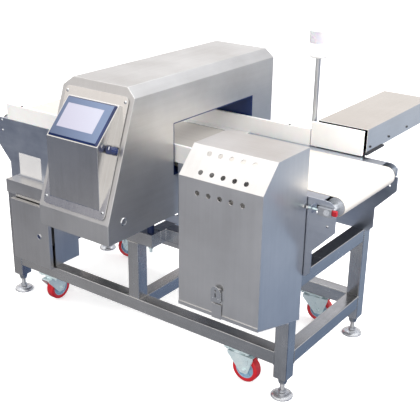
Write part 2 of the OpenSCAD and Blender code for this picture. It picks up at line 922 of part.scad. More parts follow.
// slim seal around the panel's cut-out
module panel_seal() {
  color([0.13, 0.14, 0.16]) on_slope()
    difference() {
      rounded_plate([-panel_width / 2 + cut_over, panel_width / 2 - cut_over],
        [panel_start + cut_over, panel_start + panel_length - cut_over],
        [0, seal_thickness], panel_corner);
      block(about(0, wedge_width * 0.46),
        [wedge_start + panel_start * half_share, wedge_end - panel_start * half_share],
        [-cut_over, panel_face]);
      for (sx = [-1, 1], py = screw_rows)
        rod_z(sx * screw_reach, py, [-cut_over, panel_face], button_radius * screw_hole_share);
      rod_z(switch_x, ridge_start, [-cut_over, panel_face], knob_diameter * shaft_share + running_gap);
    }
}

// wedge outline, along and off the slope
function wedge_outline(inset) = [
  [wedge_start + inset / sin(wedge_angle), panel_face - inset],
  [ridge_start, ridge_height - inset / cos(face_angle)],
  [wedge_end - inset, wedge_lip - inset / cos(face_angle) + inset * tan(face_angle)],
  [wedge_end - inset, panel_face - inset]
];

// frame on the wedge's upper face
module on_face() {
  on_slope() translate([0, ridge_start, ridge_height]) rotate([-face_angle, 0, 0]) children();
}

// panel plate, wedge-shaped box and switch collar
module control_box() {
  wedge_wall = panel_sheet * 0.75;
  cut_width = bezel_width * 0.46;
  cut_height = bezel_height * 0.46;
  color([0.79, 0.77, 0.74]) {
    difference() {
      on_slope() {
        difference() {
          union() {
            rounded_plate(about(0, panel_width / 2),
              [panel_start, panel_start + panel_length],
              [panel_low, panel_face], panel_corner);
            along_x(about(0, wedge_width / 2))
              polygon(concat(wedge_outline(0), [[wedge_end, panel_low], [wedge_start, panel_low]]));
            rod_z(switch_x, ridge_start, [panel_low, panel_face + panel_sheet],
              knob_diameter * collar_share);
          }
          along_x([-wedge_width / 2 + wedge_wall, wedge_width / 2 - wedge_wall])
            polygon(wedge_outline(wedge_wall));
          block(about(0, wedge_width * 0.45),
            [wedge_start + panel_start, wedge_end - panel_start],
            [panel_low - cut_over, panel_face]);
          for (sx = [-1, 1], py = screw_rows)
            rod_z(sx * screw_reach, py, past(panel_low, panel_face), button_radius * screw_hole_share);
          rod_z(switch_x, ridge_start,
            past(panel_low, panel_face + panel_sheet),
            knob_diameter * shaft_share + running_gap);
        }
      }
      on_face()
        block(about(0, cut_width), about(face_length / 2, cut_height), [-wedge_wall * 2, cut_over]);
    }
  }
}

// bezel with its body behind the face
module display_bezel() {
  screen_low = (bezel_height - screen_height) * 0.57;
  color([0.36, 0.42, 0.53]) on_face() translate([0, (face_length - bezel_height) / 2, 0])
    difference() {
      union() {
        rounded_plate(about(0, bezel_width / 2),
          [0, bezel_height], [0, bezel_proud],
          bezel_proud * half_share);
        block(about(0, bezel_width * 0.45),
          [bezel_height * 0.05, bezel_height * 0.95],
          [-display_depth, 0]);
      }
      block([-screen_width / 2 - screen_shift,
          screen_width / 2 - screen_shift],
        [screen_low, screen_low + screen_height],
        [bezel_proud - screen_recess, bezel_proud + cut_over]);
    }
}

module display_screen() {
  screen_low = (bezel_height - screen_height) * 0.57;
  color([0.86, 0.87, 0.93]) on_face() translate([0, (face_length - bezel_height) / 2, 0])
    block([-screen_width / 2 - screen_shift,
        screen_width / 2 - screen_shift],
      [screen_low, screen_low + screen_height],
      [bezel_proud - screen_recess,
        bezel_proud - screen_recess + screen_thickness]);
}

// knob of the rotary switch on its shaft
module rotary_switch() {
  color([0.07, 0.08, 0.14]) on_slope() translate([switch_x, ridge_start, 0]) {
    rod_z(0, 0, [rest_gap, panel_face + 3 * panel_sheet], knob_diameter * shaft_share);
    up(panel_face + panel_sheet + 2 * rest_gap) {
      cylinder(h = knob_height, r = knob_diameter * 0.4);
      for (turn = [0:60:300])
        rotate([0, 0, turn]) translate([knob_diameter * 0.36, 0, knob_height * 0.25])
          cylinder(h = knob_height * 0.75, r = knob_diameter * 0.14);
    }
  }
}

// button-head screws: panel corners, guard tops and pusher cover
module dome_screws() {
  color([0.74, 0.74, 0.73]) {
    on_slope()
      for (sx = [-1, 1], py = screw_rows)
        translate([sx * screw_reach, py, panel_face]) {
          dome_head();
          rod_z(0, 0, [-panel_face, 0], button_radius * screw_share);
        }
    placed() {
      for (place = near_guard_screws)
        translate([place, -plate_reach + guard_thickness / 2, belt_height + guard_height])
          dome_head();
      for (place = far_guard_screws)
        translate([place, plate_reach - guard_thickness / 2, belt_height + guard_height])
          dome_head();
      for (sx = [-1, 1], place = cover_screws)
        translate([pusher_middle + cover_shift + sx * cover_width / 2, place, tray_top + cover_screw_rise])
          rotate([0, sx * 90, 0]) dome_head();
      for (place = plate_screws)
        translate([place[0], -plate_reach, place[1]]) rotate([90, 0, 0]) {
          dome_head();
          rod_z(0, 0, [-2 * plate_sheet, 0], button_radius * screw_share);
        }
    }
  }
}

// side plate outline without its round corners
module plate_outline() {
  corner_low = belt_height - plate_corner;
  foot_rise = stand_height + foot_slope_rise;
  end_low = belt_height - end_slope_drop;
  for (sx = [-1, 1])
    translate([sx * (plate_end - plate_corner), corner_low]) circle(r = plate_corner);
  polygon([
    [-foot_end + foot_cut, stand_height], [-foot_end, stand_height + foot_cut], [-foot_end, foot_rise],
    [-plate_end, end_low], [-plate_end, corner_low], [-plate_end + plate_corner, belt_height],
    [-head_clear, belt_height], [-head_clear, notch_low], [head_clear, notch_low],
    [head_clear, belt_height], [plate_end - plate_corner, belt_height], [plate_end, corner_low],
    [plate_end, end_low], [foot_end, foot_rise], [foot_end, stand_height + foot_cut],
    [foot_end - foot_cut, stand_height], [foot_end - foot_length, stand_height],
    [foot_end - foot_length, plate_low], [-foot_end + foot_length, plate_low],
    [-foot_end + foot_length, stand_height]
  ]);
}

// near side plate; the far one is its mirror image
module side_plate() {
  tab_x = slot_start - tab_setback;
  difference() {
    union() {
      along_y([-plate_reach, -plate_inner]) plate_outline();
      for (sx = [-1, 1])
        block(sx > 0 ? [head_clear, plate_end - plate_corner * 1.3]
          : [-plate_end + plate_corner * 1.3, -head_clear],
          [-plate_reach, -plate_reach + flange_width],
          [belt_height - plate_sheet, belt_height]);
      block([tab_x - tab_thickness, tab_x],
        [-plate_reach - slot_half, -plate_reach],
        about(roller_height, slot_half));
    }
    block([slot_start, plate_end + cut_over],
      past(-plate_reach, -plate_inner),
      about(roller_height, slot_half));
    rod_x(past(tab_x - tab_thickness, tab_x), screw_line, roller_height, screw_radius + running_gap);
    for (place = plate_screws)
      rod_y(place[0], past(-plate_reach, -plate_inner), place[1], button_radius * screw_hole_share);
  }
}

module side_plate_near() {
  color([0.74, 0.74, 0.74]) placed() side_plate();
}

module side_plate_far() {
  color([0.74, 0.74, 0.74]) placed() mirror([0, 1, 0]) side_plate();
}

// slider bed and the bars that lift the returning belt
module slider_bed() {
  color([0.90, 0.90, 0.88]) placed() {
    block([-roller_reach + bed_setback, roller_reach - bed_setback],
      [-belt_width / 2 - bed_overhang, belt_width / 2 + bed_overhang],
      [bed_low, bed_top]);
    for (sx = [-1, 1])
      block(sx > 0 ? [return_reach - return_bar_width, return_reach]
        : [-return_reach, -return_reach + return_bar_width],
        about(0, plate_inner),
        [return_top - belt_thickness - return_bar_height,
          return_top - belt_thickness - rest_gap]);
  }
}

// points of a loop round both rollers, at radius r
function loop_points(r) =
  let (
    lean = asin(loop_inner / return_span),
    sag = r - loop_inner,
    bar_x = return_reach - sag * tan(lean / 2),
    steps = curve_steps / 2,
    turn = 180 - lean
  )
  concat(
    [for (i = [0:steps])
      let (a = 90 - i * turn / steps)
      [roller_reach + r * cos(a), roller_height + r * sin(a)]],
    [[bar_x, return_top - sag], [-bar_x, return_top - sag]],
    [for (i = [0:steps])
      let (a = 270 - lean - i * turn / steps)
      [-roller_reach + r * cos(a), roller_height + r * sin(a)]]
  );

// endless belt, lifted on its return run
module belt() {
  color([0.95, 0.94, 0.90]) placed()
    difference() {
      along_y(about(0, belt_width / 2)) polygon(loop_points(loop_outer));
      along_y(past(-belt_width / 2, belt_width / 2)) polygon(loop_points(loop_inner));
    }
}

module end_roller(x, y) {
  rod_y(x, [-belt_width / 2 + roller_inset, belt_width / 2 - roller_inset], roller_height, roller_radius);
  rod_y(x, y, roller_height, shaft_diameter / 2);
}

// driven roller with its sprocket
module drive_roller() {
  color([0.66, 0.67, 0.69]) placed() {
    end_roller(-roller_reach, [-plate_inner + cut_over, plate_inner - cut_over]);
    rod_y(-roller_reach, sprocket_line, roller_height, sprocket_radius);
  }
}

// idle roller in the tension blocks
module tail_roller() {
  color([0.66, 0.67, 0.69]) placed()
    end_roller(roller_reach, [-plate_reach - slot_half, plate_reach + slot_half]);
}

// low tubes, and flat bars under the slider bed
module cross_members() {
  half_bar = crossbar_side / 2;
  bar_low = stand_height + crossbar_rise;
  color([0.72, 0.72, 0.72]) placed() {
    for (sx = [-1, 1], place_share = low_bar_shares)
      let (px = sx * place_share * stand_half_length)
      difference() {
        block(about(px, half_bar), about(0, plate_inner), [bar_low, bar_low + crossbar_side]);
        block([px - half_bar + tube_wall, px + half_bar - tube_wall],
          past(-plate_inner, plate_inner),
          [bar_low + tube_wall, bar_low + crossbar_side - tube_wall]);
      }
    for (sx = [-1, 1], place_share = flat_bar_shares)
      let (px = sx * place_share * stand_half_length)
      block(about(px, flat_bar_width / 2), about(0, plate_inner), [bed_low - flat_bar_height, bed_low]);
  }
}

// belt tension screws beside the plates
module tension_screws() {
  head_x = slot_start - screw_overhang;
  head_end = head_x + screw_radius * 1.6;
  color([0.74, 0.75, 0.76]) placed()
    for (sy = [-1, 1])
      translate([0, -sy * screw_line, roller_height]) {
        translate([head_x, 0, 0]) rotate([0, 90, 0])
          cylinder(h = head_end - head_x, r = screw_radius * 1.9, $fn = 6);
        rod_x([head_end, block_start + screw_grip], 0, 0, screw_radius);
      }
}

// blocks that carry the tail roller's shaft
module tension_blocks() {
  color([0.62, 0.64, 0.66]) placed()
    for (sy = [-1, 1])
      difference() {
        union() {
          block([block_start, block_end],
            sy > 0 ? [plate_inner, plate_reach + slot_half]
              : [-plate_reach - slot_half, -plate_inner],
            about(roller_height, block_half));
        }
        rod_y(roller_reach, about(0, plate_end), roller_height, shaft_diameter / 2 + running_gap);
        rod_x([block_start - cut_over, roller_reach],
          -sy * screw_line, roller_height, screw_radius + running_gap);
      }
}

// cap on the end of the near tension slot
module slot_cap() {
  color([0.72, 0.08, 0.12]) placed()
    block([block_end + rest_gap, plate_end + cap_overhang],
      [-plate_reach - slot_half * 0.7, -plate_inner],
      about(roller_height, cap_half));
}

// white guard strips on both sides of the belt
module side_guards() {
  color([0.95, 0.95, 0.94]) placed() {
    block([-guard_infeed, near_guard_end],
      [-plate_reach, -plate_reach + guard_thickness],
      [belt_height, belt_height + guard_height]);
    block([-guard_infeed, far_guard_end],
      [plate_reach - guard_thickness, plate_reach],
      [belt_height, belt_height + guard_height]);
  }
}

// gearbox on the infeed cross rail, motor and terminal box
module gearmotor() {
  box_end = sprocket_line[0] - sprocket_width / 2;
  box_start = box_end - gearbox_side;
  half_box = gearbox_side / 2;
  motor_start = motor_radius + motor_gap - plate_inner;
  color([0.30, 0.36, 0.42]) placed() {
    difference() {
      block(about(-leg_line_x, half_box),
        [box_start, box_end], [stand_height, stand_height + gearbox_rise]);
      rod_y(-leg_line_x, [box_start + motor_radius, box_end + cut_over],
        drive_height, shaft_diameter / 2 + running_gap);
    }
    rod_y(-leg_line_x, [motor_start, box_start], drive_height, motor_radius);
    rod_y(-leg_line_x, [motor_start - motor_radius, motor_start], drive_height, motor_radius * 1.05);
    block(about(-leg_line_x, terminal_box / 2),
      [motor_start + terminal_box, motor_start + 2 * terminal_box],
      [drive_height, drive_height + motor_radius * 1.4]);
  }
}

// output shaft of the gearbox with its sprocket
module motor_sprocket() {
  color([0.50, 0.52, 0.54]) placed() {
    rod_y(-leg_line_x, sprocket_line, drive_height, sprocket_radius);
    rod_y(-leg_line_x, [sprocket_line[0] - gearbox_side * half_share,
      sprocket_line[0]], drive_height, shaft_diameter / 2);
  }
}

// points of the chain loop round two equal sprockets, at radius r
function chain_points(r) =
  let (steps = curve_steps / 2, slope = atan2(drive_height - roller_height, roller_reach - leg_line_x))
  [for (side = [0, 1], i = [0:steps])
    let (a = slope + 90 + side * 180 + i * 180 / steps)
    [(side == 0 ? -roller_reach : -leg_line_x) + r * cos(a),
      (side == 0 ? roller_height : drive_height) + r * sin(a)]];

// drive chain from the gearbox up to the roller
module drive_chain() {
  middle = (sprocket_line[0] + sprocket_line[1]) / 2;
  chain_inner = sprocket_radius + rest_gap;
  color([0.32, 0.33, 0.35]) placed()
    difference() {
      along_y(about(middle, chain_width / 2)) polygon(chain_points(chain_inner + chain_height));
      along_y(about(middle, chain_width)) polygon(chain_points(chain_inner));
    }
}

// flanged bearings of the driven roller
module flange_bearings() {
  side_start = -roller_reach - bearing_side * half_share;
  color([0.55, 0.58, 0.60]) placed()
    for (sy = [-1, 1])
      difference() {
        block([side_start, side_start + bearing_side],
          sy > 0 ? [plate_inner - bearing_width, plate_inner]
            : [-plate_inner, -plate_inner + bearing_width],
          about(roller_height, bearing_side / 2));
        rod_y(-roller_reach, about(0, plate_reach), roller_height, shaft_diameter / 2 + running_gap);
        for (place = [plate_screws[0], plate_screws[1]])
          rod_y(place[0], [-plate_reach, -plate_inner
            + bearing_width + cut_over], place[1],
            button_radius * screw_hole_share);
      }
}

// blank rating plate on the near side plate
module rating_plate() {
  label_start = -stand_half_length + label_inset;
  label_low = hood_top + label_rise;
  color([0.93, 0.93, 0.92]) placed() block([label_start, label_start + label_width],
    [-plate_reach - label_thickness, -plate_reach],
    [label_low, label_low + label_height]);
}

// height of the bin's sloped lower edge at a distance from the belt centre
function bin_edge(y) = bin_back_low + (y - bin_back) * bin_fall;

module bin_body() {
  brow_inset = bin_sheet * tan(slant_angle / 2);
  shoulder_inset = bin_sheet * tan((90 - slant_angle) / 2);
  chute_low = belt_height - chute_drop;
  chute_high = belt_height - chute_lip_drop;
  color([0.76, 0.75, 0.73]) placed() {
    difference() {
      union() {
        for (px = [bin_start, bin_end - bin_sheet])
          along_x([px, px + bin_sheet]) polygon([
            [-bin_front, bin_front_low], [-bin_front, bin_shoulder], [-bin_brow, bin_top],
            [-bin_back, bin_top], [-bin_back, bin_back_low]
          ]);
        along_x([bin_start, bin_end]) polygon([
          [-bin_front, bin_front_low], [-bin_front, bin_shoulder], [-bin_brow, bin_top],
          [-bin_back, bin_top], [-bin_back, bin_top - bin_sheet],
          [-bin_brow + brow_inset, bin_top - bin_sheet],
          [-bin_front + bin_sheet, bin_shoulder - shoulder_inset],
          [-bin_front + bin_sheet, bin_edge(bin_front - bin_sheet)]
        ]);
        along_x([bin_start, bin_end]) polygon([
          [-bin_wall_back - bin_sheet, bin_edge(bin_wall_back + bin_sheet)],
          [-bin_wall_back, bin_edge(bin_wall_back)], [-bin_wall_back, chute_low],
          [-bin_back, chute_high], [-bin_back, chute_high + bin_sheet * 1.6],
          [-bin_wall_back - bin_sheet, chute_low + bin_sheet]
        ]);
      }
      for (place = [-2:2]) {
        translate([(bin_start + bin_end) / 2 + place * vent_pitch, 0, 0]) {
          rod_y(0, [-bin_front - cut_over, -bin_front + 2 * bin_sheet],
            bin_shoulder - vent_drop, vent_diameter / 2);
          for (up_share = vent_shares)
            translate([0,
                -bin_front + up_share * (bin_front - bin_brow),
                bin_shoulder
                  + up_share * (bin_top - bin_shoulder)])
              rotate([slant_angle, 0, 0]) up(-2 * bin_sheet)
                cylinder(h = 3 * bin_sheet, r = vent_diameter / 2);
        }
      }
    }
    for (place_share = bin_arm_shares)
      let (px = bin_start + place_share * bin_width)
      block(about(px, bin_arm_width / 2),
        [-bin_wall_back - bin_sheet, setback_front],
        [upper_rail_low + tube_wall, stand_height - tube_wall]);
    latch_base();
  }
}

// hinged floor with its hinge barrel and latch catch
module bin_hatch() {
  hatch_back = bin_wall_back + hatch_setback;
  drop = bin_sheet + rest_gap;
  lip_far = bin_front + rest_gap + bin_sheet;
  color([0.76, 0.73, 0.68]) placed() {
    along_x([bin_start, bin_end]) polygon([
      [-hatch_back, bin_edge(hatch_back) - drop], [-hatch_back, bin_edge(hatch_back) - rest_gap],
      [-bin_front - rest_gap, bin_front_low - rest_gap + rest_gap * bin_fall],
      [-bin_front - rest_gap, bin_front_low + hatch_lip], [-lip_far, bin_front_low + hatch_lip],
      [-lip_far, bin_front_low - drop]
    ]);
    rod_x([bin_start, bin_end], -hatch_back, bin_edge(hatch_back) - drop - bin_sheet, bin_sheet * 1.6);
    block(about(latch_x, latch_width / 2),
      [-lip_far - bin_sheet, -lip_far],
      [bin_front_low - 2 * bin_sheet, bin_front_low + catch_height]);
  }
}

// riveted plate of the toggle latch
module latch_base() {
  pin_y = -bin_front - 3 * bin_sheet - rest_gap;
  lug_x = latch_width * latch_base_share - bin_sheet;
  difference() {
    union() {
      block(about(latch_x, latch_width * latch_base_share),
        [-bin_front - bin_sheet, -bin_front + bin_sheet * half_share],
        [latch_pivot - latch_foot, latch_pivot - latch_foot + latch_plate_height]);
      for (px = [latch_x - lug_x - bin_sheet, latch_x + lug_x - bin_sheet]) {
        rod_x([px, px + 2 * bin_sheet], pin_y, latch_pivot, lug_radius);
        block([px, px + 2 * bin_sheet], [pin_y, -bin_front - bin_sheet * half_share],
          about(latch_pivot, lug_radius));
      }
    }
    rod_x(about(latch_x, latch_width), pin_y, latch_pivot, bin_sheet * pin_share + running_gap);
    rod_y(latch_x, [-bin_front - 2 * bin_sheet, -bin_front - bin_sheet / 2],
      latch_pivot + rivet_rise, rivet_radius);
  }
}

// toggle lever, pivoted at its foot
module latch_lever() {
  near_y = bin_front + bin_sheet + rest_gap;
  lever_top = latch_pivot + lever_height;
  lever_low = latch_pivot - lever_foot;
  half_lever = latch_width * lever_share;
  front_y = [-near_y - 5 * bin_sheet, -near_y - 4 * bin_sheet];
  color([0.78, 0.76, 0.73]) placed()
    difference() {
      union() {
        block(about(latch_x, half_lever), front_y, [lever_low, lever_top]);
        for (px = [latch_x - half_lever, latch_x + half_lever - bin_sheet])
          block([px, px + bin_sheet], [front_y[0], -near_y], [lever_low, lever_top]);
        rod_y(latch_x, front_y, lever_top, half_lever);
        rod_x(about(latch_x, half_lever), -near_y - 2 * bin_sheet, latch_pivot, bin_sheet * pin_share);
      }
      for (up_share = rivet_shares)
        rod_y(latch_x, [-near_y - 6 * bin_sheet, -near_y - 3 * bin_sheet],
          latch_pivot + up_share * lever_height, rivet_radius);
    }
}

module pusher_plate() {
  color([0.95, 0.95, 0.94]) placed() block(about(pusher_middle, pusher_width / 2),
    [plate_reach - guard_thickness, plate_reach],
    [pusher_low, pusher_low + pusher_height]);
}

// piston rod with its piston, and two guide rods
module pusher_rods() {
  piston_start = guide_end + cylinder_length - cylinder_cap - piston_length
    - piston_gap;
  guide_rod_end = guide_end + pusher_stroke + guide_overhang;
  color([0.82, 0.83, 0.84]) placed() {
    rod_y(pusher_axis, [plate_reach, piston_start], rod_height, rod_diameter / 2);
    rod_y(pusher_axis, [piston_start, piston_start + piston_length],
      rod_height, cylinder_bore - running_gap);
    for (sx = [-1, 1])
      rod_y(pusher_axis + sx * rod_spread, [plate_reach, guide_rod_end], rod_height, rod_diameter / 2);
  }
}

// air cylinder and the guide block in front of it
module air_cylinder() {
  color([0.70, 0.72, 0.75]) placed() {
    difference() {
      union() {
        rod_y(pusher_axis, [guide_end, guide_end + cylinder_length], rod_height, cylinder_diameter / 2);
        for (py = [guide_end, guide_end + cylinder_length - cylinder_cap])
          block(past(pusher_axis - cylinder_diameter / 2, pusher_axis + cylinder_diameter / 2),
            [py, py + cylinder_cap],
            past(rod_height - cylinder_diameter / 2, rod_height + cylinder_diameter / 2));
      }
      rod_y(pusher_axis, [guide_end + cylinder_cap, guide_end
        + cylinder_length - cylinder_cap], rod_height, cylinder_bore);
      rod_y(pusher_axis, past(guide_end, guide_end + cylinder_cap), rod_height,
        rod_diameter / 2 + running_gap);
    }
    difference() {
      block([pusher_axis - rod_spread - rod_diameter,
          pusher_axis + rod_spread + rod_diameter],
        [guide_start, guide_end],
        [tray_top, rod_height + rod_diameter]);
      for (place = [-1:1])
        rod_y(pusher_axis + place * rod_spread,
          past(guide_start, guide_end), rod_height,
          rod_diameter / 2 + running_gap);
    }
  }
}

// dark bracket on the far plate, and its tray
module pusher_bracket() {
  sheet = bracket_sheet;
  deep = plate_reach + bracket_depth;
  drop = tray_top - bracket_height;
  half_tray = cover_width / 2 - cover_sheet - rest_gap;
  color([0.12, 0.13, 0.18]) placed() {
    block(about(pusher_axis, half_tray),
      [cover_start, cover_reach - 4 * cover_sheet],
      [tray_top - sheet, tray_top]);
    block(about(pusher_axis, half_tray), [plate_reach, plate_reach + sheet], [drop, tray_top - sheet]);
    along_x(about(pusher_axis, sheet / 2)) polygon([
      [plate_reach + sheet, drop], [plate_reach + sheet, tray_top - sheet],
      [deep + sheet, tray_top - sheet]
    ]);
    block([pusher_axis - half_tray,
        pusher_axis + cover_width / 2 + bracket_overhang],
      [plate_reach, deep], [tray_top - 2 * sheet, tray_top - sheet]);
  }
}

// sheet cover, open towards the pusher plate
module pusher_cover() {
  color([0.78, 0.77, 0.75]) placed()
    difference() {
      block(about(pusher_axis, cover_width / 2),
        [cover_start, cover_reach],
        [tray_top - bracket_sheet, cover_top]);
      block([pusher_axis - cover_width / 2 + cover_sheet,
          pusher_axis + cover_width / 2 - cover_sheet],
        [cover_start - cut_over, cover_reach - cover_sheet],
        [tray_top - bracket_sheet - cut_over, cover_top - cover_sheet]);
    }
}

// open box with the hinge pins and a motor drive inside
module cabinet_body() {
  left = -inner_line_x + rest_gap;
  right = door_end - side_setback;
  back = cabinet_front - cabinet_depth;
  cabinet_top = cabinet_low + cabinet_height;
  color([0.70, 0.71, 0.73]) placed() {
    difference() {
      block([left, right], [-cabinet_front, -back], [cabinet_low, cabinet_top]);
      block([left + cabinet_sheet, right - cabinet_sheet],
        [-cabinet_front - cut_over, -back - cabinet_sheet],
        [cabinet_low + cabinet_sheet, cabinet_top - cabinet_sheet]);
    }
    block([left + drive_shares[0] * door_width,
        left + drive_shares[1] * door_width],
      [-back - drive_shares[2] * cabinet_depth, -back - cabinet_sheet],
      [cabinet_low + drive_shares[3] * cabinet_height,
        cabinet_low + drive_shares[4] * cabinet_height]);
    for (low = hinge_lows) {
      rod_z(hinge_x, hinge_y, [low, low + hinge_length / 2], hinge_radius);
      rod_z(hinge_x, hinge_y, [low, low + hinge_length], hinge_pin);
      block([hinge_x, -inner_line_x - hinge_radius],
        [hinge_y, -stand_half_width], [low, low + hinge_length / 2]);
    }
  }
}

// folded door with its lift-off hinge halves
module cabinet_door() {
  sheet = cabinet_sheet;
  color([0.75, 0.72, 0.68]) placed() {
    difference() {
      block([door_start, door_end], [-door_front, -door_back], [door_low, door_low + door_height]);
      block([door_start + sheet, door_end - sheet],
        [-door_front + sheet, -door_back + cut_over],
        [door_low + sheet, door_low + door_height - sheet]);
      rod_y(lock_x, [-door_front - cut_over, -door_back], lock_z, lock_barrel + running_gap);
    }
    for (low = hinge_lows)
      difference() {
        union() {
          rod_z(hinge_x, hinge_y, [low + hinge_length / 2 + rest_gap, low + hinge_length], hinge_radius);
          block([door_start, door_start + sheet], [-door_back, hinge_y],
            [low + hinge_length / 2 + rest_gap, low + hinge_length]);
        }
        rod_z(hinge_x, hinge_y, [low, low + hinge_length + cut_over], hinge_pin + running_gap);
      }
  }
}

// cam lock: face, barrel and the cam behind the door
module cam_lock() {
  color([0.20, 0.24, 0.32]) placed() {
    rod_y(lock_x, [-door_front - lock_proud, -door_front - rest_gap], lock_z, lock_face);
    rod_y(lock_x, [-door_front - rest_gap, -door_back - cam_half / 2], lock_z, lock_barrel);
    block([lock_x - cam_half, door_end - cam_setback],
      [-door_back - cam_half, -door_back - cam_half / 2],
      about(lock_z, cam_half));
  }
}

// folded hood over the front rail, with a long slot
module cabinet_hood() {
  left = -stand_half_length - cabinet_sheet;
  front = stand_half_width + cabinet_sheet;
  low = stand_height - hood_drop;
  slot_left = door_start + hood_slot_inset;
  color([0.80, 0.77, 0.72]) placed()
    difference() {
      block([left, hood_end], [-front, -plate_reach - label_thickness], [low, hood_top]);
      block([left + cabinet_sheet, hood_end + cut_over],
        [-front + cabinet_sheet, -plate_reach],
        [low - cut_over, hood_top - cabinet_sheet]);
      block([slot_left, hood_end - 0.45 * door_width],
        [-front - cut_over, -front + 2 * cabinet_sheet],
        [low + cut_over, low + cut_over + hood_slot_height]);
    }
}

// pole with its clamp block on the far side plate
module beacon_pole() {
  clamp_top = belt_height - clamp_drop;
  clamp_low = clamp_top - clamp_height;
  color([0.78, 0.79, 0.80]) placed() {
    rod_z(beacon_x, pole_y, [clamp_low - pole_foot, pole_top], pole_diameter / 2);
    difference() {
      block(about(beacon_x, clamp_side), [plate_reach, pole_y + clamp_side], [clamp_low, clamp_top]);
      rod_z(beacon_x, pole_y, past(clamp_low, clamp_top), pole_diameter / 2);
    }
  }
}

// lamp's foot and cap
module beacon_housing() {
  lens_low = pole_top + lamp_base_height;
  color([0.93, 0.93, 0.93]) placed() translate([beacon_x, pole_y, 0]) {
    up(pole_top)
      cylinder(h = lamp_base_height * 0.12, r1 = lamp_diameter * 0.4, r2 = lamp_diameter * 0.5);
    rod_z(0, 0, [pole_top + lamp_base_height * 0.12, lens_low], lamp_diameter / 2);
    rod_z(0, 0, [lens_low + lens_height, lens_low + lens_height
      + lamp_cap_height * 0.7], lamp_diameter * 0.49);
    up(lens_low + lens_height + lamp_cap_height * 0.7)
      cylinder(h = lamp_cap_height * 0.3, r1 = lamp_diameter * 0.49, r2 = lamp_diameter * 0.42);
  }
}

// clear lens, a hollow drum
module beacon_lens() {
  lens_low = pole_top + lamp_base_height;
  color([0.93, 0.88, 0.90]) placed()
    difference() {
      rod_z(beacon_x, pole_y, [lens_low, lens_low + lens_height], lamp_diameter * 0.48);
      rod_z(beacon_x, pole_y, [lens_low + lens_height * 0.08,
        lens_low + lens_height * 0.92], lamp_diameter * 0.43);
    }
}

legs();
lower_rails();
upper_rails();
foot_front_left();
foot_front_right();
foot_back_left();
foot_back_right();
caster_plates();
caster_fork_front_left();
caster_fork_front_right();
caster_fork_back_left();
caster_fork_back_right();
caster_wheel_front_left();
caster_wheel_front_right();
caster_wheel_back_left();
caster_wheel_back_right();
head_housing();
tunnel_liner();
coil_former();
search_coils();
head_posts();
post_bolts();
blanking_plug();
control_box();
panel_seal();
display_bezel();
display_screen();
rotary_switch();
dome_screws();
side_plate_near();
side_plate_far();
slider_bed();
belt();
drive_roller();
tail_roller();
cross_members();
tension_screws();
tension_blocks();
slot_cap();
side_guards();
gearmotor();
motor_sprocket();
drive_chain();
flange_bearings();
rating_plate();
bin_body();
bin_hatch();
latch_lever();
pusher_plate();
pusher_rods();
air_cylinder();
pusher_bracket();
pusher_cover();
cabinet_body();
cabinet_door();
cam_lock();
cabinet_hood();
beacon_pole();
beacon_housing();
beacon_lens();
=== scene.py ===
# %% [markdown]
# # A conveyor metal detector, dressed for its portrait
#
# The machine was drawn first in CAD: exact solids, real joints, real sizes.
# This lesson gives it the surfaces a photographer would see. Each cell does one
# small job, says why, and prints what it made. Lengths are in metres.

# %% Load the frame
import json
import math

import bmesh
import bpy
import numpy as np
from mathutils import Matrix, Vector

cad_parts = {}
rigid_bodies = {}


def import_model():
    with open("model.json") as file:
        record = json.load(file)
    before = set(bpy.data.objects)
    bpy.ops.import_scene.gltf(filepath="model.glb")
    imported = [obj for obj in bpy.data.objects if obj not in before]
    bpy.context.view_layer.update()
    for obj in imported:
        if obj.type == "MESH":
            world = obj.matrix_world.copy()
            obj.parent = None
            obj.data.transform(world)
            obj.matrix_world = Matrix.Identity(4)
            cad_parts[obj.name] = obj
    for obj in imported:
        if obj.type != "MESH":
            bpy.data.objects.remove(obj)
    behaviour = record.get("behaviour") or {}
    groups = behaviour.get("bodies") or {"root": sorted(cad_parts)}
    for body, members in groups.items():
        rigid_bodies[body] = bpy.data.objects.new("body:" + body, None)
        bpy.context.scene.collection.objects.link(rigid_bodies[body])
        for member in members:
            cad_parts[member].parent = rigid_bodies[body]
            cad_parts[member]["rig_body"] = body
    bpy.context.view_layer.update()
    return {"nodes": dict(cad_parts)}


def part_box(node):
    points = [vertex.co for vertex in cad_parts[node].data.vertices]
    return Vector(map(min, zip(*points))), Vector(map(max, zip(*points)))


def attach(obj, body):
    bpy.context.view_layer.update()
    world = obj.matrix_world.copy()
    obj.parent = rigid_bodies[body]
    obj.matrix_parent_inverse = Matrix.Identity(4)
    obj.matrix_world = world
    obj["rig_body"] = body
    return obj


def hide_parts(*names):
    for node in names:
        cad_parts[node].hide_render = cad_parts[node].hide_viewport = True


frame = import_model()
nodes = frame["nodes"]

# %% [markdown]
# ## The camera
#
# A photograph gives away its camera: parallel edges of the stand lean towards
# common points, and these fix the viewing angle and the lens. Solving them put
# the camera 35.6 degrees to the right of the front, 22.4 degrees above the
# horizon and slightly rolled. The focal length is kept as a share of the
# picture's width, so it holds for any sensor.

# %% Camera
FOCAL_SHARE = 820.06 / 420
SENSOR = 36.0
CAMERA_PLACE = (1.7885, -2.4160, 1.6370)
AZIMUTH, PITCH, ROLL = 35.58, 22.36, 0.93


def aim(azimuth, pitch, roll):
    """Turn a camera: right, up and backward directions as matrix columns.

    Forward is (-sin a cos p, cos a cos p, -sin p). Right is level before the roll.
    """
    a, p, c = math.radians(azimuth), math.radians(pitch), math.radians(roll)
    forward = Vector((-math.sin(a) * math.cos(p), math.cos(a) * math.cos(p), -math.sin(p)))
    right = Vector((math.cos(a), math.sin(a), 0.0))
    up = right.cross(forward)
    rolled = right * math.cos(c) + up * math.sin(c)
    lifted = up * math.cos(c) - right * math.sin(c)
    return Matrix((rolled, lifted, -forward)).transposed().to_4x4()


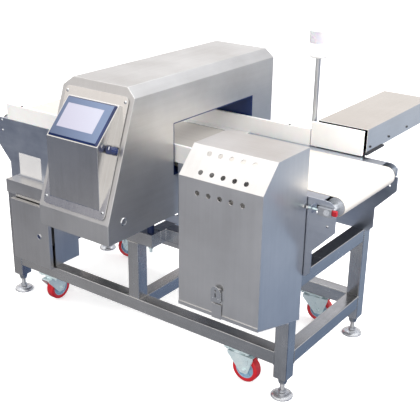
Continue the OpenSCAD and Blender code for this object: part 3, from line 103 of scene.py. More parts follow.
def make_camera():
    """Place the camera. The lens is the focal share times the sensor's width."""
    data = bpy.data.cameras.new("Camera")
    data.sensor_width = SENSOR
    data.lens = SENSOR * FOCAL_SHARE
    data.clip_end = 60.0
    camera = bpy.data.objects.new("Camera", data)
    bpy.context.scene.collection.objects.link(camera)
    camera.matrix_world = Matrix.Translation(CAMERA_PLACE) @ aim(AZIMUTH, PITCH, ROLL)
    bpy.context.scene.camera = camera
    return camera


print("lens", round(make_camera().data.lens, 2), "mm")

# %% [markdown]
# ## Colour and node helpers
#
# Colours are written as the hex values a screen shows. Cycles wants linear
# light, so one function converts them all. A second one adds a shader node with
# its settings and links, which keeps each material to a few readable lines.


# %% Colour and one node
def linear(hex_colour):
    """Screen value v becomes v / 12.92 when dark, else ((v + 0.055) / 1.055) ** 2.4."""
    values = [int(hex_colour[i:i + 2], 16) / 255 for i in (1, 3, 5)]
    return tuple(v / 12.92 if v <= 0.04045 else ((v + 0.055) / 1.055) ** 2.4 for v in values) + (1.0,)


def add_node(tree, kind, inputs=None, **settings):
    """Add one node. A socket given as an input is linked, anything else is a value."""
    node = tree.nodes.new("ShaderNode" + kind)
    for key, value in settings.items():
        setattr(node, key, value)
    for key, value in (inputs or {}).items():
        socket = node.inputs[key]
        if isinstance(value, bpy.types.NodeSocket):
            tree.links.new(value, socket)
        else:
            socket.default_value = value
    return node


print("white is", linear("#ffffff"))

# %% [markdown]
# Four short words build every pattern below: `noise` gives a cloudy field,
# `spread` rescales it, `ramp` turns it to a colour and `bump` to a relief.


# %% Words for patterns
def ramp(tree, factor, stops):
    """A colour ramp from (place, hex colour) pairs."""
    node = add_node(tree, "ValToRGB", {"Fac": factor})
    elements = node.color_ramp.elements
    while len(elements) < len(stops):
        elements.new(0.5)
    for element, (place, colour) in zip(elements, stops):
        element.position = place
        element.color = linear(colour)
    return node.outputs["Color"]


def spread(tree, value, low, high, start=0.3, end=0.7):
    """Map a value from start..end to low..high, held at both ends."""
    return add_node(tree, "MapRange", {"Value": value, "From Min": start, "From Max": end,
                                       "To Min": low, "To Max": high}).outputs["Result"]


def noise(tree, vector, scale, detail=2.0, roughness=0.5):
    """Plain noise. Scale counts waves per metre when the vector is in metres."""
    return add_node(tree, "TexNoise", {"Vector": vector, "Scale": scale, "Detail": detail,
                                       "Roughness": roughness}).outputs["Fac"]


def stretched(tree, vector, along, across):
    """The same vector with its own number of waves per metre along U and across it."""
    return add_node(tree, "Mapping", {"Vector": vector, "Scale": (along, across, 1.0)}).outputs["Vector"]


def bump(tree, shader, height, distance, strength=1.0):
    """Send a height in 0..1 to the shader's normal as a real depth in metres."""
    node = add_node(tree, "Bump", {"Height": height, "Distance": distance, "Strength": strength})
    tree.links.new(node.outputs["Normal"], shader.inputs["Normal"])


def start_material(name, **constants):
    """A new material with one Principled shader, whose sockets get the constants."""
    material = bpy.data.materials.new(name)
    material.use_nodes = True
    tree = material.node_tree
    tree.nodes.clear()
    shader = add_node(tree, "BsdfPrincipled")
    for key, value in constants.items():
        shader.inputs[key.replace("_", " ")].default_value = value
    add_node(tree, "OutputMaterial", {"Surface": shader.outputs[0]})
    return material, tree, shader


print("pattern words are ready")

# %% [markdown]
# ## Brushed stainless steel
#
# Nearly every sheet here is stainless steel, rubbed with an abrasive belt. That
# leaves fine parallel lines, which stretch each highlight across them, and the
# wiping cloth leaves slow smears. An image could show this, but a procedural
# pattern stays sharp at any distance. The lines run along the U direction of a
# UV map named grain, measured in metres, so that they follow each sheet. The
# real lines lie about 0.1 mm apart, too fine to show, so they are drawn 0.3 to
# 0.6 mm apart. Colour, roughness, relief and tangent all follow the same map.

# %% Brushed steel
GRAIN_LENGTH_WAVES = 14.0


def brushed_steel(name, colours, rough, lines=2600.0, cloud=5.0):
    """Stainless sheet. Shade = 0.4 (0.45 lines + 0.55 bands) + 0.6 smears, as is the roughness."""
    material, tree, shader = start_material(name, Metallic=1.0, Anisotropic=0.45)
    uv = add_node(tree, "UVMap", uv_map="grain").outputs["UV"]
    fine = noise(tree, stretched(tree, uv, GRAIN_LENGTH_WAVES, lines), 1.0, 3.0, 0.7)
    bands = noise(tree, stretched(tree, uv, 3.0, 60.0), 1.0, 3.0, 0.6)
    smear = noise(tree, add_node(tree, "TexCoord").outputs["Object"], cloud, 4.0, 0.6)
    streaks = add_node(tree, "Mix", {0: 0.55, 2: fine, 3: bands}).outputs[0]
    mix = add_node(tree, "Mix", {0: 0.6, 2: streaks, 3: smear}).outputs[0]
    shade = ramp(tree, spread(tree, mix, 0.0, 1.0), [(0.0, colours[0]), (0.5, colours[1]), (1.0, colours[2])])
    tree.links.new(shade, shader.inputs["Base Color"])
    tree.links.new(spread(tree, mix, *rough), shader.inputs["Roughness"])
    tangent = add_node(tree, "Tangent", direction_type="UV_MAP", uv_map="grain").outputs["Tangent"]
    tree.links.new(tangent, shader.inputs["Tangent"])
    bump(tree, shader, fine, 0.00002, 0.6)
    return material


SHEET = ("#cdcbc9", "#dad9d8", "#e5e4e3")
BRIGHT_SHEET = ("#dbd9d7", "#e6e5e4", "#f0efee")
# Belt-ground sheet of cabinet and hood: the plain, slightly warm grey of bare stainless.
steel = brushed_steel("brushed_stainless_sheet", SHEET, (0.27, 0.36))
# The head's big sheets are rubbed softer, so that reflections melt into one another.
steel_head = brushed_steel("soft_brushed_head_sheet", SHEET, (0.38, 0.46))
# Bin sheets are newer and brighter.
steel_light = brushed_steel("bright_stainless_sheet", BRIGHT_SHEET, (0.27, 0.36))
# The pusher's cover has a finer finish, which mirrors the surroundings more clearly.
cover_steel = brushed_steel("satin_cover_sheet", BRIGHT_SHEET, (0.15, 0.21))
# The control panel is satin: smooth enough to mirror the switch.
steel_panel = brushed_steel("satin_panel_sheet", ("#d6d4d2", "#e0dfde", "#e9e8e7"), (0.17, 0.25))
# Side plates are thicker and cut by laser; their blue-grey tint is painted shade, the cool look they have in
# shade.
side_plate_steel_painted_cool_shade = brushed_steel("satin_side_plate_painted_cool_shade", ("#bbc2ce", "#c9cfda", "#d8dde5"), (0.26, 0.38),
                           1800.0, 12.0)
# Tube is drawn and polished along its length, darker and shinier than sheet.
steel_tube = brushed_steel("polished_stainless_tube", ("#bcbcbc", "#cccccc", "#dadada"), (0.20, 0.30),
                           3200.0, 9.0)
# Bars, nuts and stems: a coarse machined grain.
steel_bare = brushed_steel("stainless_bar_and_plate", ("#bfc1c5", "#d0d2d5", "#dcdee0"), (0.26, 0.38),
                           1800.0, 12.0)
print("brushed steels:", len(bpy.data.materials))

# %% [markdown]
# ## Plated, cast and painted metal
#
# Zinc, chrome and castings have no direction. Two noises do: broad clouds for
# the bath or the mould, and fine grain for the crystals. Zinc is partly
# non-metallic, because its fine relief scatters light as a pale paint would.
# The bright folded edges are a painted highlight: pale, partly non-metallic
# steel on the roundings, standing in for the light that the edges catch.


# %% Plated and cast metal
def cloudy_metal(name, colours, rough, scale, metallic=1.0, depth=0.00004):
    """Mottled colour and roughness: the sum of one broad and one fine noise."""
    material, tree, shader = start_material(name, Metallic=metallic)
    place = add_node(tree, "TexCoord").outputs["Object"]
    broad = noise(tree, place, scale * 0.08, 4.0, 0.6)
    grain = noise(tree, place, scale, 5.0, 0.65)
    mix = add_node(tree, "Math", {0: broad, 1: grain}, operation="ADD").outputs[0]
    level = spread(tree, mix, 0.0, 1.0, 0.75, 1.25)
    tree.links.new(ramp(tree, level, [(0.0, colours[0]), (1.0, colours[1])]), shader.inputs["Base Color"])
    tree.links.new(spread(tree, mix, *rough, 0.75, 1.25), shader.inputs["Roughness"])
    bump(tree, shader, grain, depth)
    return material


# A folded edge gets a painted highlight: a thin line brighter than its sheet.
edge_painted_highlight = cloudy_metal("painted_highlight_folded_edge", ("#e4e6ea", "#f4f5f6"), (0.26, 0.36), 300.0, 0.45)
# The bin's inner wall, seen through the vents, gets painted shade: a dark blue-grey for the shade it lies in.
bin_inside_painted_shade = cloudy_metal("painted_shade_inner_sheet", ("#1c2436", "#2a344a"), (0.4, 0.55), 200.0, 0.5)
# Roller shells are turned and then rubbed dull by the belt.
turned = cloudy_metal("turned_roller_shell", ("#c4c9d0", "#e0e3e7"), (0.24, 0.36), 500.0, 0.45)
# Zinc plating on pressings: pale, a little green, with a 4 mm spangle.
zinc = cloudy_metal("zinc_plated_pressing", ("#cfe2e6", "#e8f4f4"), (0.26, 0.42), 240.0, 0.4)
# Satin chrome of the feet, and mirror chrome of screws and rods.
satin_chrome = cloudy_metal("satin_chromed_steel", ("#c9cbd0", "#e4e6e9"), (0.2, 0.34), 160.0, 0.85)
chrome = cloudy_metal("chromed_steel", ("#d9dbde", "#eceeef"), (0.05, 0.14), 90.0, depth=0.000005)
# Oiled black steel of chain and sprockets.
dark_steel = cloudy_metal("oiled_dark_steel", ("#3c3e42", "#5a5c60"), (0.32, 0.5), 500.0)
# Sand-cast aluminium, with a grain of 1.4 mm and a relief that can be felt.
cast = cloudy_metal("cast_aluminium", ("#8d9196", "#abafb3"), (0.34, 0.5), 700.0, depth=0.00008)
# Enamelled winding wire, glossy and warm.
copper = cloudy_metal("enamelled_copper_winding", ("#8a4a22", "#b8703a"), (0.3, 0.45), 900.0)
print("metals:", len(bpy.data.materials))

# %% [markdown]
# ## Plastics and paint
#
# Moulded plastic takes the texture of its mould, about 0.7 to 2 mm here so that
# it shows. Its shade drifts a little where it flowed. Gloss comes from a clear
# coat on the parts that are polished.


# %% Plastics and paint
def plastic(name, colours, rough, scale=900.0, depth=0.00002, smear=6.0, **constants):
    """Moulded plastic or paint: a fine texture, and slow changes of shade."""
    material, tree, shader = start_material(name, **constants)
    place = add_node(tree, "TexCoord").outputs["Object"]
    fine = noise(tree, place, scale, 2.0, 0.5)
    broad = noise(tree, place, smear, 4.0, 0.6)
    tree.links.new(ramp(tree, broad, [(0.3, colours[0]), (0.7, colours[1])]), shader.inputs["Base Color"])
    mix = add_node(tree, "Math", {0: fine, 1: broad}, operation="ADD").outputs[0]
    tree.links.new(spread(tree, mix, *rough, 0.7, 1.3), shader.inputs["Roughness"])
    bump(tree, shader, fine, depth)
    return material


# Milled polyethylene of guards and pusher plate: waxy, so a little light enters it.
white_pe = plastic("white_polyethylene", ("#e2e1df", "#ecebe9"), (0.34, 0.48), 500.0, 0.00003,
                   Subsurface_Weight=0.15, Subsurface_Scale=0.006)
bed_white = plastic("white_slider_board", ("#e4e4e0", "#f0f0ec"), (0.4, 0.55))
# Cast polyurethane tyre: saturated red under a thin shine.
red_tyre = plastic("red_polyurethane_tyre", ("#b3101c", "#d01c28"), (0.28, 0.42), 700.0, 0.00003, 14.0,
                   Coat_Weight=0.25, Coat_Roughness=0.2)
red_cap = plastic("red_moulded_plastic", ("#9c1420", "#b41c2a"), (0.35, 0.5))
# Injection-moulded nylon of the hubs.
hub_grey = plastic("blue_grey_nylon", ("#86a6bd", "#9cbacd"), (0.36, 0.52))
# Navy: matt in the opening's liner, where it is painted shade for the dark
# inside of the tunnel; polished on knob and display.
navy_plastic_and_liner_shade = plastic("dark_navy_plastic_and_liner_shade", ("#0c1c44", "#132a58"), (0.35, 0.5), 1200.0)
navy_gloss = plastic("polished_navy_plastic", ("#101d42", "#182a58"), (0.18, 0.28), 1200.0, 0.00001,
                     Coat_Weight=0.5, Coat_Roughness=0.12)
grille_grey = plastic("grey_vent_plastic", ("#8d8f93", "#9da0a4"), (0.4, 0.5))
# Dark plastic only for screw sockets and the lock's key slot: painted shade in those recesses.
black_recess_shade = plastic("black_painted_recess_shade", ("#0e0f13", "#191b21"), (0.28, 0.42), 1200.0)
# Powder paint has a fine orange-peel relief.
black_paint = plastic("dark_powder_paint", ("#16181f", "#23262e"), (0.36, 0.52), 1600.0, 0.00006)
gasket = plastic("rubber_gasket_and_painted_slot_shade", ("#15161a", "#1f2126"), (0.55, 0.7))
motor_paint = plastic("blue_grey_machine_paint", ("#4a5662", "#596673"), (0.35, 0.5), 1200.0, 0.00006)
former = plastic("resin_former", ("#cfc3a0", "#dcd2b4"), (0.4, 0.55))
lamp_white = plastic("white_lamp_plastic", ("#eceded", "#f6f6f6"), (0.26, 0.38))
label = plastic("blank_white_label", ("#c9c8c8", "#d3d2d1"), (0.3, 0.42), 300.0)
print("plastics are mixed,", len(bpy.data.materials), "materials so far")

# %% [markdown]
# ## Belt cover, bezel, lens and screen
#
# Four surfaces need their own recipe. The belt has a woven impression, 1 mm
# apart, and faint marks along its run. The bezel's painted light and shade and
# the screen's glow change from corner to corner, which X + Z measures on the object itself.
# The lens lets light in and scatters it, as milky plastic does.


# %% Belt cover
def belt_cloth(name):
    """White belt: warp wave times weft wave for relief, stretched noise for run marks."""
    material, tree, shader = start_material(name, Coat_Weight=0.06, Coat_Roughness=0.35)
    uv = add_node(tree, "UVMap", uv_map="grain").outputs["UV"]
    marks = noise(tree, stretched(tree, uv, 1.5, 60.0), 1.0, 4.0, 0.6)
    tree.links.new(ramp(tree, marks, [(0.3, "#cbc6be"), (0.7, "#d4cfc8")]), shader.inputs["Base Color"])
    tree.links.new(spread(tree, marks, 0.42, 0.56), shader.inputs["Roughness"])
    warp, weft = (add_node(tree, "TexWave", {"Vector": uv, "Scale": 320.0, "Distortion": 0.4},
                           bands_direction=way).outputs["Fac"] for way in "XY")
    weave = add_node(tree, "Math", {0: warp, 1: weft}, operation="MULTIPLY").outputs[0]
    bump(tree, shader, weave, 0.00006, 0.5)
    return material


belt_white = belt_cloth("white_belt_cover")
print("belt:", belt_white.name)


# %% Bezel, lens and screen
def diagonal(tree, place, start, end):
    """X + Z of a place, rescaled so that start..end becomes 0..1."""
    axis = add_node(tree, "SeparateXYZ", {"Vector": place}).outputs
    total = add_node(tree, "Math", {0: axis["X"], 1: axis["Z"]}, operation="ADD").outputs[0]
    return spread(tree, total, 0.0, 1.0, start, end)


def bezel_plastic(name):
    """Slate plastic with painted light: lighter at the upper right corner, darker at the lower left."""
    material, tree, shader = start_material(name, Coat_Weight=0.2, Coat_Roughness=0.3)
    place = add_node(tree, "TexCoord").outputs["Object"]
    # Painted light: the ramp makes the bezel lighter at the upper right and darker at the lower left.
    shade = ramp(tree, diagonal(tree, place, 0.72, 1.00), [(0.0, "#3a4763"), (1.0, "#687895")])
    tree.links.new(shade, shader.inputs["Base Color"])
    fine = noise(tree, place, 1400.0, 2.0, 0.5)
    tree.links.new(spread(tree, fine, 0.34, 0.46), shader.inputs["Roughness"])
    bump(tree, shader, fine, 0.00003)
    return material


def lens_plastic(name):
    """Milky lens: light passes in part and scatters."""
    material, tree, shader = start_material(name, Transmission_Weight=0.12, IOR=1.49,
                                            Subsurface_Weight=0.5, Subsurface_Scale=0.01)
    broad = noise(tree, add_node(tree, "TexCoord").outputs["Object"], 40.0, 3.0)
    tree.links.new(ramp(tree, broad, [(0.3, "#ddd3dc"), (0.7, "#e8e0e6")]), shader.inputs["Base Color"])
    tree.links.new(spread(tree, broad, 0.18, 0.3), shader.inputs["Roughness"])
    return material


def screen_glass(name):
    """Lit display under glass: a soft lavender glow that fades towards one corner."""
    material, tree, shader = start_material(name, Coat_Weight=0.5, Coat_Roughness=0.08,
                                            Emission_Strength=0.12)
    uv = add_node(tree, "UVMap", uv_map="grain").outputs["UV"]
    place = add_node(tree, "TexCoord").outputs["Object"]
    shade = ramp(tree, diagonal(tree, place, 0.74, 0.98),
                 [(0.0, "#9c9aaa"), (0.55, "#a5a4b4"), (1.0, "#adaebd")])
    pixels = add_node(tree, "TexChecker", {"Vector": uv, "Scale": 3000.0}).outputs["Fac"]
    tree.links.new(shade, shader.inputs["Base Color"])
    tree.links.new(shade, shader.inputs["Emission Color"])
    tree.links.new(spread(tree, pixels, 0.16, 0.2, 0.0, 1.0), shader.inputs["Roughness"])
    return material


bezel_slate_painted_light = bezel_plastic("slate_bezel_painted_light")
lens = lens_plastic("milky_lens_plastic")
screen = screen_glass("lit_display_glass")
print("materials:", len(bpy.data.materials))

# %% [markdown]
# ## Skins on a grid of points
#
# Every solid below is a pair: an array of points and a list of faces. Turned
# and drawn parts are surfaces of two parameters, so their points form a grid of
# rows and columns, and one function lays faces over any such grid. It is told
# the grid as point numbers, so a row may shrink to a single pole.

# %% Axes and skins
AXES = {"x": (np.array([1.0, 0, 0]), np.array([0, 1.0, 0]), np.array([0, 0, 1.0])),
        "y": (np.array([0, 1.0, 0]), np.array([0, 0, 1.0]), np.array([1.0, 0, 0])),
        "z": (np.array([0, 0, 1.0]), np.array([1.0, 0, 0]), np.array([0, 1.0, 0]))}
POLE = 1e-7


def skin(index):
    """Faces between the rows of a grid of point numbers whose columns close in a ring.

    Face (row r, column j) joins r,j to r,j+1 to r+1,j+1 to r+1,j. At a pole two corners
    are one point and the face is a triangle; between two poles there is none.
    """
    ahead = np.roll(index, -1, axis=1)
    quads = np.stack([index[:-1], ahead[:-1], ahead[1:], index[1:]], axis=-1).reshape(-1, 4)
    faces = [tuple(dict.fromkeys(quad)) for quad in quads.tolist()]
    return [face for face in faces if len(face) > 2]


def ring_angles(steps, start=0.0):
    """Angles of a full turn in equal steps."""
    return start + np.arange(steps) * 2 * math.pi / steps


def placed(axis, flat, height):
    """Points from pairs on a plane and heights along its axis. Pairs keep the order x, y, z."""
    return np.insert(np.asarray(flat, float), "xyz".index(axis), height, axis=1)


print("axes:", *AXES)

# %% [markdown]
# ## Turned and threaded solids
#
# A lathe turns a profile: point (row, column) lies at the profile's height on
# the axis, and at its radius from it in the column's direction. A thread is a
# lathe whose radius also depends on the angle, so that its ridge climbs.


# %% Lathe and thread
def lathe(profile, centre, axis="z", steps=64, start=0.0):
    """Turn (radius, height) pairs: centre + height * axis + radius * (cos t, sin t)."""
    along, side, over = AXES[axis]
    angles = ring_angles(steps, start)
    ring = np.cos(angles)[:, None] * side + np.sin(angles)[:, None] * over
    radius, height = np.array(profile, float).T
    spine = np.array(centre) + height[:, None] * along
    points = spine[:, None] + radius[:, None, None] * ring
    pole = radius < POLE
    first = np.concatenate([[0], np.cumsum(np.where(pole, 1, steps))])[:-1]
    index = first[:, None] + np.arange(steps) * ~pole[:, None]
    used = ~pole[:, None] | (np.arange(steps) == 0)
    return points[used], skin(index)


def thread(centre, axis, start, end, radius, pitch=0.002, depth=0.0006, steps=24):
    """A screw thread: radius - depth * (1 - |2 f - 1|), f the point's fraction of a pitch.

    Five rows to each turn follow the ridge, and a flat face closes each end.
    """
    along, side, over = AXES[axis]
    count = max(2, int((end - start) / pitch * 5))
    height = (start + (end - start) * np.arange(count + 1) / count)[:, None]
    angle = ring_angles(steps)
    fraction = (height / pitch - np.arange(steps) / steps) % 1.0
    reach = (radius - depth * (1 - abs(2 * fraction - 1)))[..., None]
    ring = np.cos(angle)[:, None] * side + np.sin(angle)[:, None] * over
    points = np.array(centre) + height[..., None] * along + reach * ring
    index = np.arange((count + 1) * steps).reshape(-1, steps)
    return points.reshape(-1, 3), skin(index) + [tuple(index[0][::-1].tolist()), tuple(index[-1].tolist())]


def loft(rings, heights):
    """Walls from one flat ring to the next along z, closed at the first ring and the last."""
    points = np.concatenate([placed("z", ring, height) for ring, height in zip(rings, heights)])
    index = np.arange(len(points)).reshape(len(rings), -1)
    return points, [tuple(index[0][::-1].tolist()), tuple(index[-1].tolist())] + skin(index)


print("a turned disc has", len(lathe([(0, 0), (1, 0), (1, 1), (0, 1)], (0, 0, 0))[1]), "faces")

# %% [markdown]
# ## Outlines
#
# Flat parts start as an outline with rounded corners. Each corner of a polygon
# is replaced by an arc that touches both of its sides.


# %% Outlines
def fillet(corners, radii, steps=6):
    """Round a flat outline: each corner becomes an arc tangent to its two sides.

    An arc of radius r leaves the corner by r / tan(half angle), at most 0.49 of a side.
    """
    corners = [np.array(c, float) for c in corners]
    if not isinstance(radii, (list, tuple)):
        radii = [radii] * len(corners)
    out = []
    for i, corner in enumerate(corners):
        u, w = corners[i - 1] - corner, corners[(i + 1) % len(corners)] - corner
        before, after = np.linalg.norm(u), np.linalg.norm(w)
        u, w = u / before, w / after
        half = math.acos(max(-1, min(1, float(u @ w)))) / 2
        reach = min(radii[i] / math.tan(half), 0.49 * before, 0.49 * after)
        if reach < POLE:
            out.append(corner[None])
            continue
        middle = corner + (u + w) / np.linalg.norm(u + w) * reach * math.tan(half) / math.sin(half)
        a, b = corner + u * reach - middle, corner + w * reach - middle
        turn = math.atan2(a[0] * b[1] - a[1] * b[0], float(a @ b)) * np.arange(steps + 1)[:, None] / steps
        out.append(middle + a * np.cos(turn) + np.array([-a[1], a[0]]) * np.sin(turn))
    return np.concatenate(out)


def rectangle(left, low, right, high):
    """Corners of a rectangle, counter-clockwise."""
    return [(left, low), (right, low), (right, high), (left, high)]


def circle(x, y, radius, steps, start=0.0):
    """Points of a circle. Six steps give a hexagon."""
    angles = ring_angles(steps, start)
    return np.stack([x + radius * np.cos(angles), y + radius * np.sin(angles)], axis=1)


def square_ring(side, radius, steps=5):
    """Outline of a square tube's section with rounded corners."""
    return fillet(rectangle(-side / 2, -side / 2, side / 2, side / 2), radius, steps)


print("a rounded square has", len(square_ring(1.0, 0.1)), "points")

# %% [markdown]
# ## Boxes with broken edges
#
# A real edge is never perfectly sharp, and it is its small rounding that catches
# the light. So every box and sheet gets one. `bmesh` is Blender's own mesh
# editor without a window, and its bevel rounds any choice of edges.


# %% Boxes
def from_bmesh(bm):
    """Points and faces of a bmesh, which is then freed."""
    bm.verts.index_update()
    points = np.array([v.co for v in bm.verts], float).reshape(-1, 3)
    faces = [tuple(v.index for v in f.verts) for f in bm.faces]
    bm.free()
    return points, faces


def break_edges(bm, edges, offset, steps=2, **options):
    """Round edges of a bmesh with a bevel of the given width."""
    bmesh.ops.bevel(bm, geom=edges, offset=offset, segments=steps, profile=0.5, affect="EDGES", **options)


def rounded_box(low, high, radius=0.0008, steps=2):
    """A box with rounded edges: a unit cube scaled to the span, then bevelled."""
    low, high = np.minimum(low, high), np.maximum(low, high)
    bm = bmesh.new()
    bmesh.ops.create_cube(bm, size=1.0)
    for v in bm.verts:
        v.co = Vector((np.array(v.co) + 0.5) * (high - low) + low)
    break_edges(bm, bm.edges[:], min(radius, 0.45 * float((high - low).min())), steps)
    return from_bmesh(bm)


print("a rounded box has", len(rounded_box((0, 0, 0), (1, 1, 1))[1]), "faces")

# %% [markdown]
# ## Slabs and plates
#
# A slab gives an outline a thickness. A plate does the same for a sheet with
# holes: the area between its loops is filled with triangles first, and then
# pulled out to the sheet's thickness. Only rims are bevelled, where a wall meets
# a face, so the flat area stays flat.


# %% Slabs, plates and nuts
def slab(outline, axis, start, end, edge):
    """Give an outline a thickness along an axis: two caps, walls and bevelled rims."""
    area = sum(p[0] * q[1] - p[1] * q[0] for p, q in zip(outline, np.roll(outline, -1, 0)))
    outline = outline if area > 0 else outline[::-1]
    n = len(outline)
    bm = bmesh.new()
    verts = [bm.verts.new(p) for p in np.concatenate([placed(axis, outline, h) for h in (start, end)])]
    caps = [bm.faces.new(verts[:n]), bm.faces.new(verts[n:])]
    for face in skin(np.arange(2 * n).reshape(2, n)):
        bm.faces.new([verts[i] for i in face])
    if edge > 0:
        break_edges(bm, [e for f in caps for e in f.edges], edge, clamp_overlap=True)
        bmesh.ops.remove_doubles(bm, verts=bm.verts[:], dist=0.000002)
    bmesh.ops.recalc_face_normals(bm, faces=bm.faces[:])
    return from_bmesh(bm)


def plate(outline, holes, axis, start, end, edge):
    """A sheet with holes: fill between the loops, extrude, bevel where wall meets face."""
    k = "xyz".index(axis)
    bm = bmesh.new()
    for loop in [outline, *holes]:
        verts = [bm.verts.new(p) for p in placed(axis, loop, start)]
        for a, b in zip(verts, verts[1:] + verts[:1]):
            bm.edges.new((a, b))
    bmesh.ops.triangle_fill(bm, use_beauty=True, edges=bm.edges[:])
    top = bmesh.ops.extrude_face_region(bm, geom=bm.faces[:], use_keep_orig=True)["geom"]
    for v in (g for g in top if isinstance(g, bmesh.types.BMVert)):
        v.co[k] = end
    bmesh.ops.recalc_face_normals(bm, faces=bm.faces[:])
    rims = [e for e in bm.edges if len(e.link_faces) == 2
            and abs(abs(e.link_faces[0].normal[k]) - abs(e.link_faces[1].normal[k])) > 0.5]
    break_edges(bm, rims, edge, loop_slide=False)
    return from_bmesh(bm)


def hex_head(centre, axis, start, end, radius, turn):
    """A hexagon nut or bolt head: a slab with its corners broken."""
    k = "xyz".index(axis)
    outline = fillet(circle(*np.delete(np.array(centre, float), k), radius, 6, turn), radius * 0.08, 2)
    return slab(outline, axis, centre[k] + start, centre[k] + end, radius * 0.09)


print("a nut has", len(hex_head((0, 0, 0), "z", 0, 0.01, 0.008, 0)[1]), "faces")

# %% [markdown]
# ## Tubes and weld beads
#
# The stand is welded from 50 mm square tube with 2 mm walls. Its section is a
# rounded square twice: outside and inside. A polished weld stands a little proud
# and ripples where the welder paused, so a bead is a thin bar carried round the
# section with a radius that varies by 14 %.

# %% Tubes and beads
TUBE, WALL, TUBE_CORNER = 0.050, 0.002, 0.0032
BEAD_RADIUS, BEAD_STEP, BEAD_SIDES = 0.0017, 0.0022, 6


def square_tube(axis, span, centre, cap_end=False):
    """A square tube between two heights. cap_end closes the far end with a 2 mm cap."""
    outer = square_ring(TUBE, TUBE_CORNER) + centre
    inner = square_ring(TUBE - 2 * WALL, TUBE_CORNER - WALL) + centre
    n = len(outer)
    heights = (span[0], span[0], span[1], span[1] - WALL * cap_end)
    points = np.concatenate([placed(axis, ring, h) for ring, h in zip((outer, inner, outer, inner), heights)])
    a, b, c, d = np.arange(4 * n).reshape(4, n)
    a2, b2, c2, d2 = (np.roll(row, -1) for row in (a, b, c, d))
    walls = [(a, a2, c2, c), (b2, b, d, d2), (a2, a, b, b2)] + ([] if cap_end else [(c, c2, d2, d)])
    faces = list(map(tuple, np.array(walls).transpose(2, 0, 1).reshape(-1, 4).tolist()))
    if cap_end:
        faces += [tuple(c.tolist()), tuple(d[::-1].tolist())]
    return points, faces


def weld_bead(axis, place, centre, seed):
    """A bar round a tube's end: radius R (1 + 0.14 sin(1.9 i + seed)) at its point number i.

    Its section turns from side to over, both square to the path's tangent.
    """
    outline = square_ring(TUBE + 0.0006, 0.0034, 4)
    dense = []
    for p, q in zip(outline, np.roll(outline, -1, 0)):
        steps = max(1, int(np.linalg.norm(q - p) / BEAD_STEP))
        dense.append(p + (q - p) * np.arange(steps)[:, None] / steps)
    path = placed(axis, np.concatenate(dense) + centre, place)
    radius = BEAD_RADIUS * (1 + 0.14 * np.sin(np.arange(len(path)) * 1.9 + seed))
    tangent = np.roll(path, -1, 0) - np.roll(path, 1, 0)
    tangent /= np.linalg.norm(tangent, axis=1)[:, None]
    along = AXES[axis][0]
    side = np.broadcast_to(-along, path.shape) if axis == "y" else np.cross(tangent, along)
    over = np.cross(tangent, side)
    angle = ring_angles(BEAD_SIDES)[:, None]
    ring = side[:, None] * np.cos(angle) + over[:, None] * np.sin(angle)
    points = path[:, None] + ring * radius[:, None, None]
    index = np.arange(len(path) * BEAD_SIDES).reshape(-1, BEAD_SIDES)
    return points.reshape(-1, 3), skin(np.concatenate([index, index[:1]]))


print("a tube has", len(square_tube("z", (0, 1), (0, 0))[1]), "faces")

# %% [markdown]
# ## From a drawing to its place
#
# Small parts are easier to draw at the origin. `carried` moves a solid to a
# frame given by two directions, and `spun` turns it about a vertical line. Both
# move the points themselves, so that every finished object stays at the origin.


# %% Moving solids
def carried(solid, origin, across, up):
    """Point (x, y, z) goes to origin + x * across + y * up + z * (across x up)."""
    points, faces = solid
    across, up = np.array(across, float), np.array(up, float)
    return np.array(origin) + points @ np.stack([across, up, np.cross(across, up)]), faces


def spun(solid, centre, degrees):
    """Turn a solid about a vertical line, then move it there."""
    a = math.radians(degrees)
    return carried(solid, centre, (math.cos(a), math.sin(a), 0), (-math.sin(a), math.cos(a), 0))


def outward(points, faces):
    """Turn every face round if the solid's signed volume, a sum of a . (b x c) / 6, is negative."""
    points = np.asarray(points, float)
    corners = np.array([(f[0], f[i], f[i + 1]) for f in faces for i in range(1, len(f) - 1)])
    a, b, c = (points[corners[:, i]] - points.mean(0) for i in range(3))
    volume = np.einsum("ij,ij->", a, np.cross(b, c)) / 6
    return points, [tuple(f)[::-1] for f in faces] if volume < 0 else faces


print("solids can be moved")

# %% [markdown]
# ## The grain map
#
# Steel is brushed along its longest side, so the UV map needs that direction
# for each solid, and faces that share points are gathered into solids first.
# U then runs along the longest side that the face doesn't stand square to. On
# turned parts U runs round the axis instead, as the tool did.


# %% Solids and directions
def islands(faces, count):
    """Label each face with one point of the solid it belongs to, by union and find."""
    parent = list(range(count))

    def root(i):
        """Follow parents up to the solid's own point, and shorten the way."""
        while parent[i] != i:
            parent[i] = parent[parent[i]]
            i = parent[i]
        return i

    for face in faces:
        a = root(face[0])
        for v in face[1:]:
            parent[root(v)] = a
    return [root(face[0]) for face in faces]


def round_axis(p, middle, axis):
    """U is the angle times the mean radius, V the height plus the radius."""
    along, side, over = AXES[axis]
    rel = p - middle
    x, y = rel @ side, rel @ over
    angle = np.arctan2(y, x)
    angle = angle[0] + (angle - angle[0] + math.pi) % (2 * math.pi) - math.pi
    r = np.hypot(x, y)
    return angle * max(float(r.mean()), 0.002), rel @ along + r


print("two faces that share a point:", islands([(0, 1, 2), (2, 3, 4)], 5))

# %% [markdown]
# ## Laying the grain
#
# Each solid gets its own offset, so that no two bars show the same lines. The
# map is in metres, which is why one recipe for brushed steel fits a screw and a
# cabinet alike.

# %% Grain map
SHIFT_U, SHIFT_V = 0.37, 0.11


def along_side(p, normal, order, label):
    """U is the longest side's direction laid into the face, V is square to it."""
    axis = next(k for k in order if abs(normal[k]) < 0.75)
    g = np.zeros(3)
    g[axis] = 1.0
    g -= normal * float(g @ normal)
    g /= np.linalg.norm(g)
    return p @ g + label * SHIFT_U, p @ np.cross(normal, g) + label * SHIFT_V


